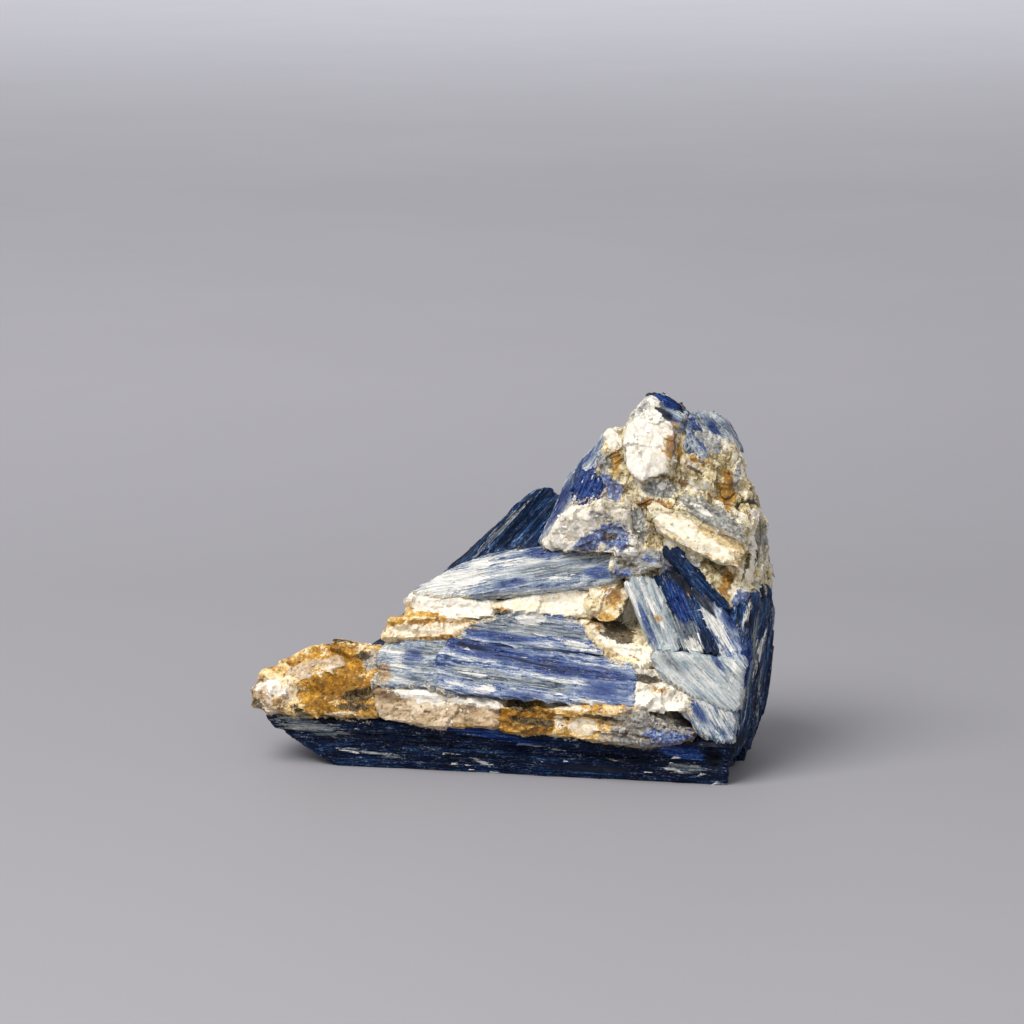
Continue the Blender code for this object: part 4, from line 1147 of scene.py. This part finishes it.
def grow(number, node):
    """One crystal as a piece: its skin lifted, rolled and sunk, with its bits, its masks and its finish."""
    slot, along, facing = CRYSTALS[node]
    laths = slot.startswith("kyanite")
    seed = 100 + 60 * number
    stretch = STRETCH_LATHS if laths else STRETCH_GRAINS
    if facing is not FRONT or node == "quartz_mass":
        stretch = STRETCH_BEHIND
    square, crisp = SQUARE.get(node, USUAL_SQUARE), CRISP_LATHS if laths else CRISP_GRAINS
    points, squares, outward, axes = skin(node, along, facing, square, stretch, crisp)

    sink, tint, hollow = broken(seed, node, laths, points, outward, axes)
    unlike = {other for other, (mineral, _, _) in CRYSTALS.items() if mineral.startswith("kyanite") != laths}
    lift, mixed = join_of(node, points, unlike)
    mixed *= PURER.get(node, 1.0)
    roll = sum(height * cloud(wave, points / width) for wave, width, height in ROLLS)
    masks = spot_masks(node, points, outward)
    relief = sink * SMOOTHER.get(node, 1.0) * (1 - 0.35 * mixed)
    crusted = 0.4 * mixed * grain_relief(9, points, False)[0] if laths else 0  # grainy near quartz
    move = SWELL + lift + roll * ROLL_SHARE - relief - crusted - masks.pop("dent")
    points = points + outward * move[:, None]

    chosen, corners = bits_on(seed + 45, points, outward, axes, laths)
    host, first = np.repeat(chosen, 8), len(points) + 8 * np.arange(len(chosen))
    squares = np.concatenate([squares, (first[:, None, None] + BOX_FACES).reshape(-1, 4)])
    points = np.concatenate([points, corners.reshape(-1, 3)])
    points[:, 2] = np.maximum(points[:, 2], LOWEST)

    mesh = bpy.data.meshes.new(node + "_skin")
    mesh.from_pydata(points * MM, [], squares.tolist())
    fill_attribute(mesh, "grain", points @ axes.T + 37.0 * number)  # far apart, so no two crystals match
    luck = np.repeat(chance(seed + 58, chosen), 8)
    for name, values in {"tint": tint, "hollow": hollow, "mixed": mixed, **masks}.items():
        of_bits = luck if name == "tint" else values[host]
        if name == "white":
            of_bits = of_bits + 0.6 * (luck > 0.8)  # about one bit in five is a fresh white one
        fill_attribute(mesh, name, np.concatenate([values, of_bits]))
    mesh.materials.append(MINERALS[OWN_FINISH.get(node, slot)])
    mesh.shade_smooth()
    mesh.set_sharp_from_angle(angle=SHARP_LATHS if laths else SHARP_GRAINS)

    piece = bpy.data.objects.new(node + "_skin", mesh)
    bpy.context.scene.collection.objects.link(piece)
    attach(piece, "root")
    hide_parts(node)
    return 2 * len(squares)


# %% Growing all of them
triangles = {node: grow(number, node) for number, node in enumerate(CRYSTALS)}
print("triangles in all:", sum(triangles.values()), "most in one piece:", max(triangles.values()))

# %% [markdown]
# ## The floor
# A plain pale sheet of paper, level under the lump and curved up far behind, so that no edge shows. Its
# colour holds painted shade round the lump and painted light in front and far behind, and it is faintly
# mottled, as paper is.

# %% Floor
PAPER_LIGHT_AND_SHADE = shades(  # how far back in metres, and the tone of the paper there
    (-0.4, 162, 160, 165), (0.0, 146, 145, 150), (0.12, 146, 145, 150),
    (0.35, 168, 167, 173), (0.9, 198, 197, 203), (2.2, 220, 219, 226),
)
FLOOR_HALF_WIDTH, FLOOR_FRONT = 4.0, -2.5
CURVE_START, CURVE_RADIUS, WALL_HEIGHT = 2.2, 1.4, 3.0


def floor_profile(count=24):
    """From the front edge level to the start of the curve, a quarter circle, then straight up."""
    turn = np.linspace(0, math.pi / 2, count)
    wall = CURVE_START + CURVE_RADIUS
    y = np.concatenate([[FLOOR_FRONT], CURVE_START + CURVE_RADIUS * np.sin(turn), [wall]])
    z = np.concatenate([[0.0], CURVE_RADIUS * (1 - np.cos(turn)), [WALL_HEIGHT]])
    return y, z


y, z = floor_profile()
left = np.stack([np.full_like(y, -FLOOR_HALF_WIDTH), y, z], axis=1)
right = left * (-1, 1, 1)
rows = np.arange(len(y) - 1)
strips = np.stack([rows, rows + len(y), rows + len(y) + 1, rows + 1], axis=1)
floor_mesh = bpy.data.meshes.new("floor")
floor_mesh.from_pydata(np.concatenate([left, right]), [], strips.tolist())
floor_mesh.shade_smooth()

paper = Finish("floor_paper")
mottle = paper.noise(paper.object_place(), (9.0, 9.0, 9.0), 6)
back = paper.node("ShaderNodeSeparateXYZ", sockets={0: paper.object_place()}, output=1)
NEAR, FAR = PAPER_LIGHT_AND_SHADE[0][0], PAPER_LIGHT_AND_SHADE[-1][0]
stops = [((far_back - NEAR) / (FAR - NEAR), shade) for far_back, shade in PAPER_LIGHT_AND_SHADE]
# Painted light and shade: the paper is darker round the lump and lighter in front and far behind.
painted_light_grade = paper.ramp((back - NEAR) * (1 / (FAR - NEAR)), stops)
paper.set(Base_Color=paper.mix(mottle * 0.1, painted_light_grade, tone(128, 126, 132)), Roughness=0.5 + mottle * 0.2)
paper.set(Normal=paper.bump(mottle, 0.002, 0.05))
floor_mesh.materials.append(paper.material)
floor = bpy.data.objects.new("floor", floor_mesh)
bpy.context.scene.collection.objects.link(floor)
print("floor of", len(strips), "strips")

# %% [markdown]
# ## The light
# A large soft lamp above and to the left models the lump and throws its shadow to the right. A weak one in
# front opens the dark blues, a third lights the paper far behind, and a dim room fills the rest.

# %% Lamps
WARM, COOL = (1.0, 0.985, 0.96), (0.96, 0.97, 1.0)
LAMPS = {  # place, what it shines at, size, all in metres, power in watts, colour
    "key_lamp": ((-0.42, -0.26, 0.85), (0, 0, 0.02), 0.62, 11.2, WARM),
    "fill_lamp": ((0.3, -1.1, 0.6), (0, 0, 0.03), 0.6, 3.0, COOL),
    "wall_lamp": ((0.0, 1.6, 1.8), (0, 3.6, 0.9), 1.6, 26.0, COOL),
}
ROOM_COLOUR, ROOM_STRENGTH = (0.96, 0.96, 0.98, 1), 0.42


def lamp(name, place, target, size, power, colour):
    """A square soft lamp at a place, turned to shine at a target."""
    light = bpy.data.lights.new(name, "AREA")
    light.size, light.energy, light.color = size, power, colour
    holder = bpy.data.objects.new(name, light)
    holder.location = place
    x, y, z = np.array(target) - np.array(place)
    holder.rotation_euler = (math.atan2(math.hypot(x, y), -z), 0, math.atan2(y, x) - math.pi / 2)
    bpy.context.scene.collection.objects.link(holder)


for name, settings in LAMPS.items():
    lamp(name, *settings)
room = bpy.data.worlds.new("room")
room.use_nodes = True
background = room.node_tree.nodes["Background"]
background.inputs["Color"].default_value = ROOM_COLOUR
background.inputs["Strength"].default_value = ROOM_STRENGTH
bpy.context.scene.world = room
bpy.context.scene.view_settings.view_transform = "Standard"
print(len(LAMPS), "lamps and a dim room")

# %% [markdown]
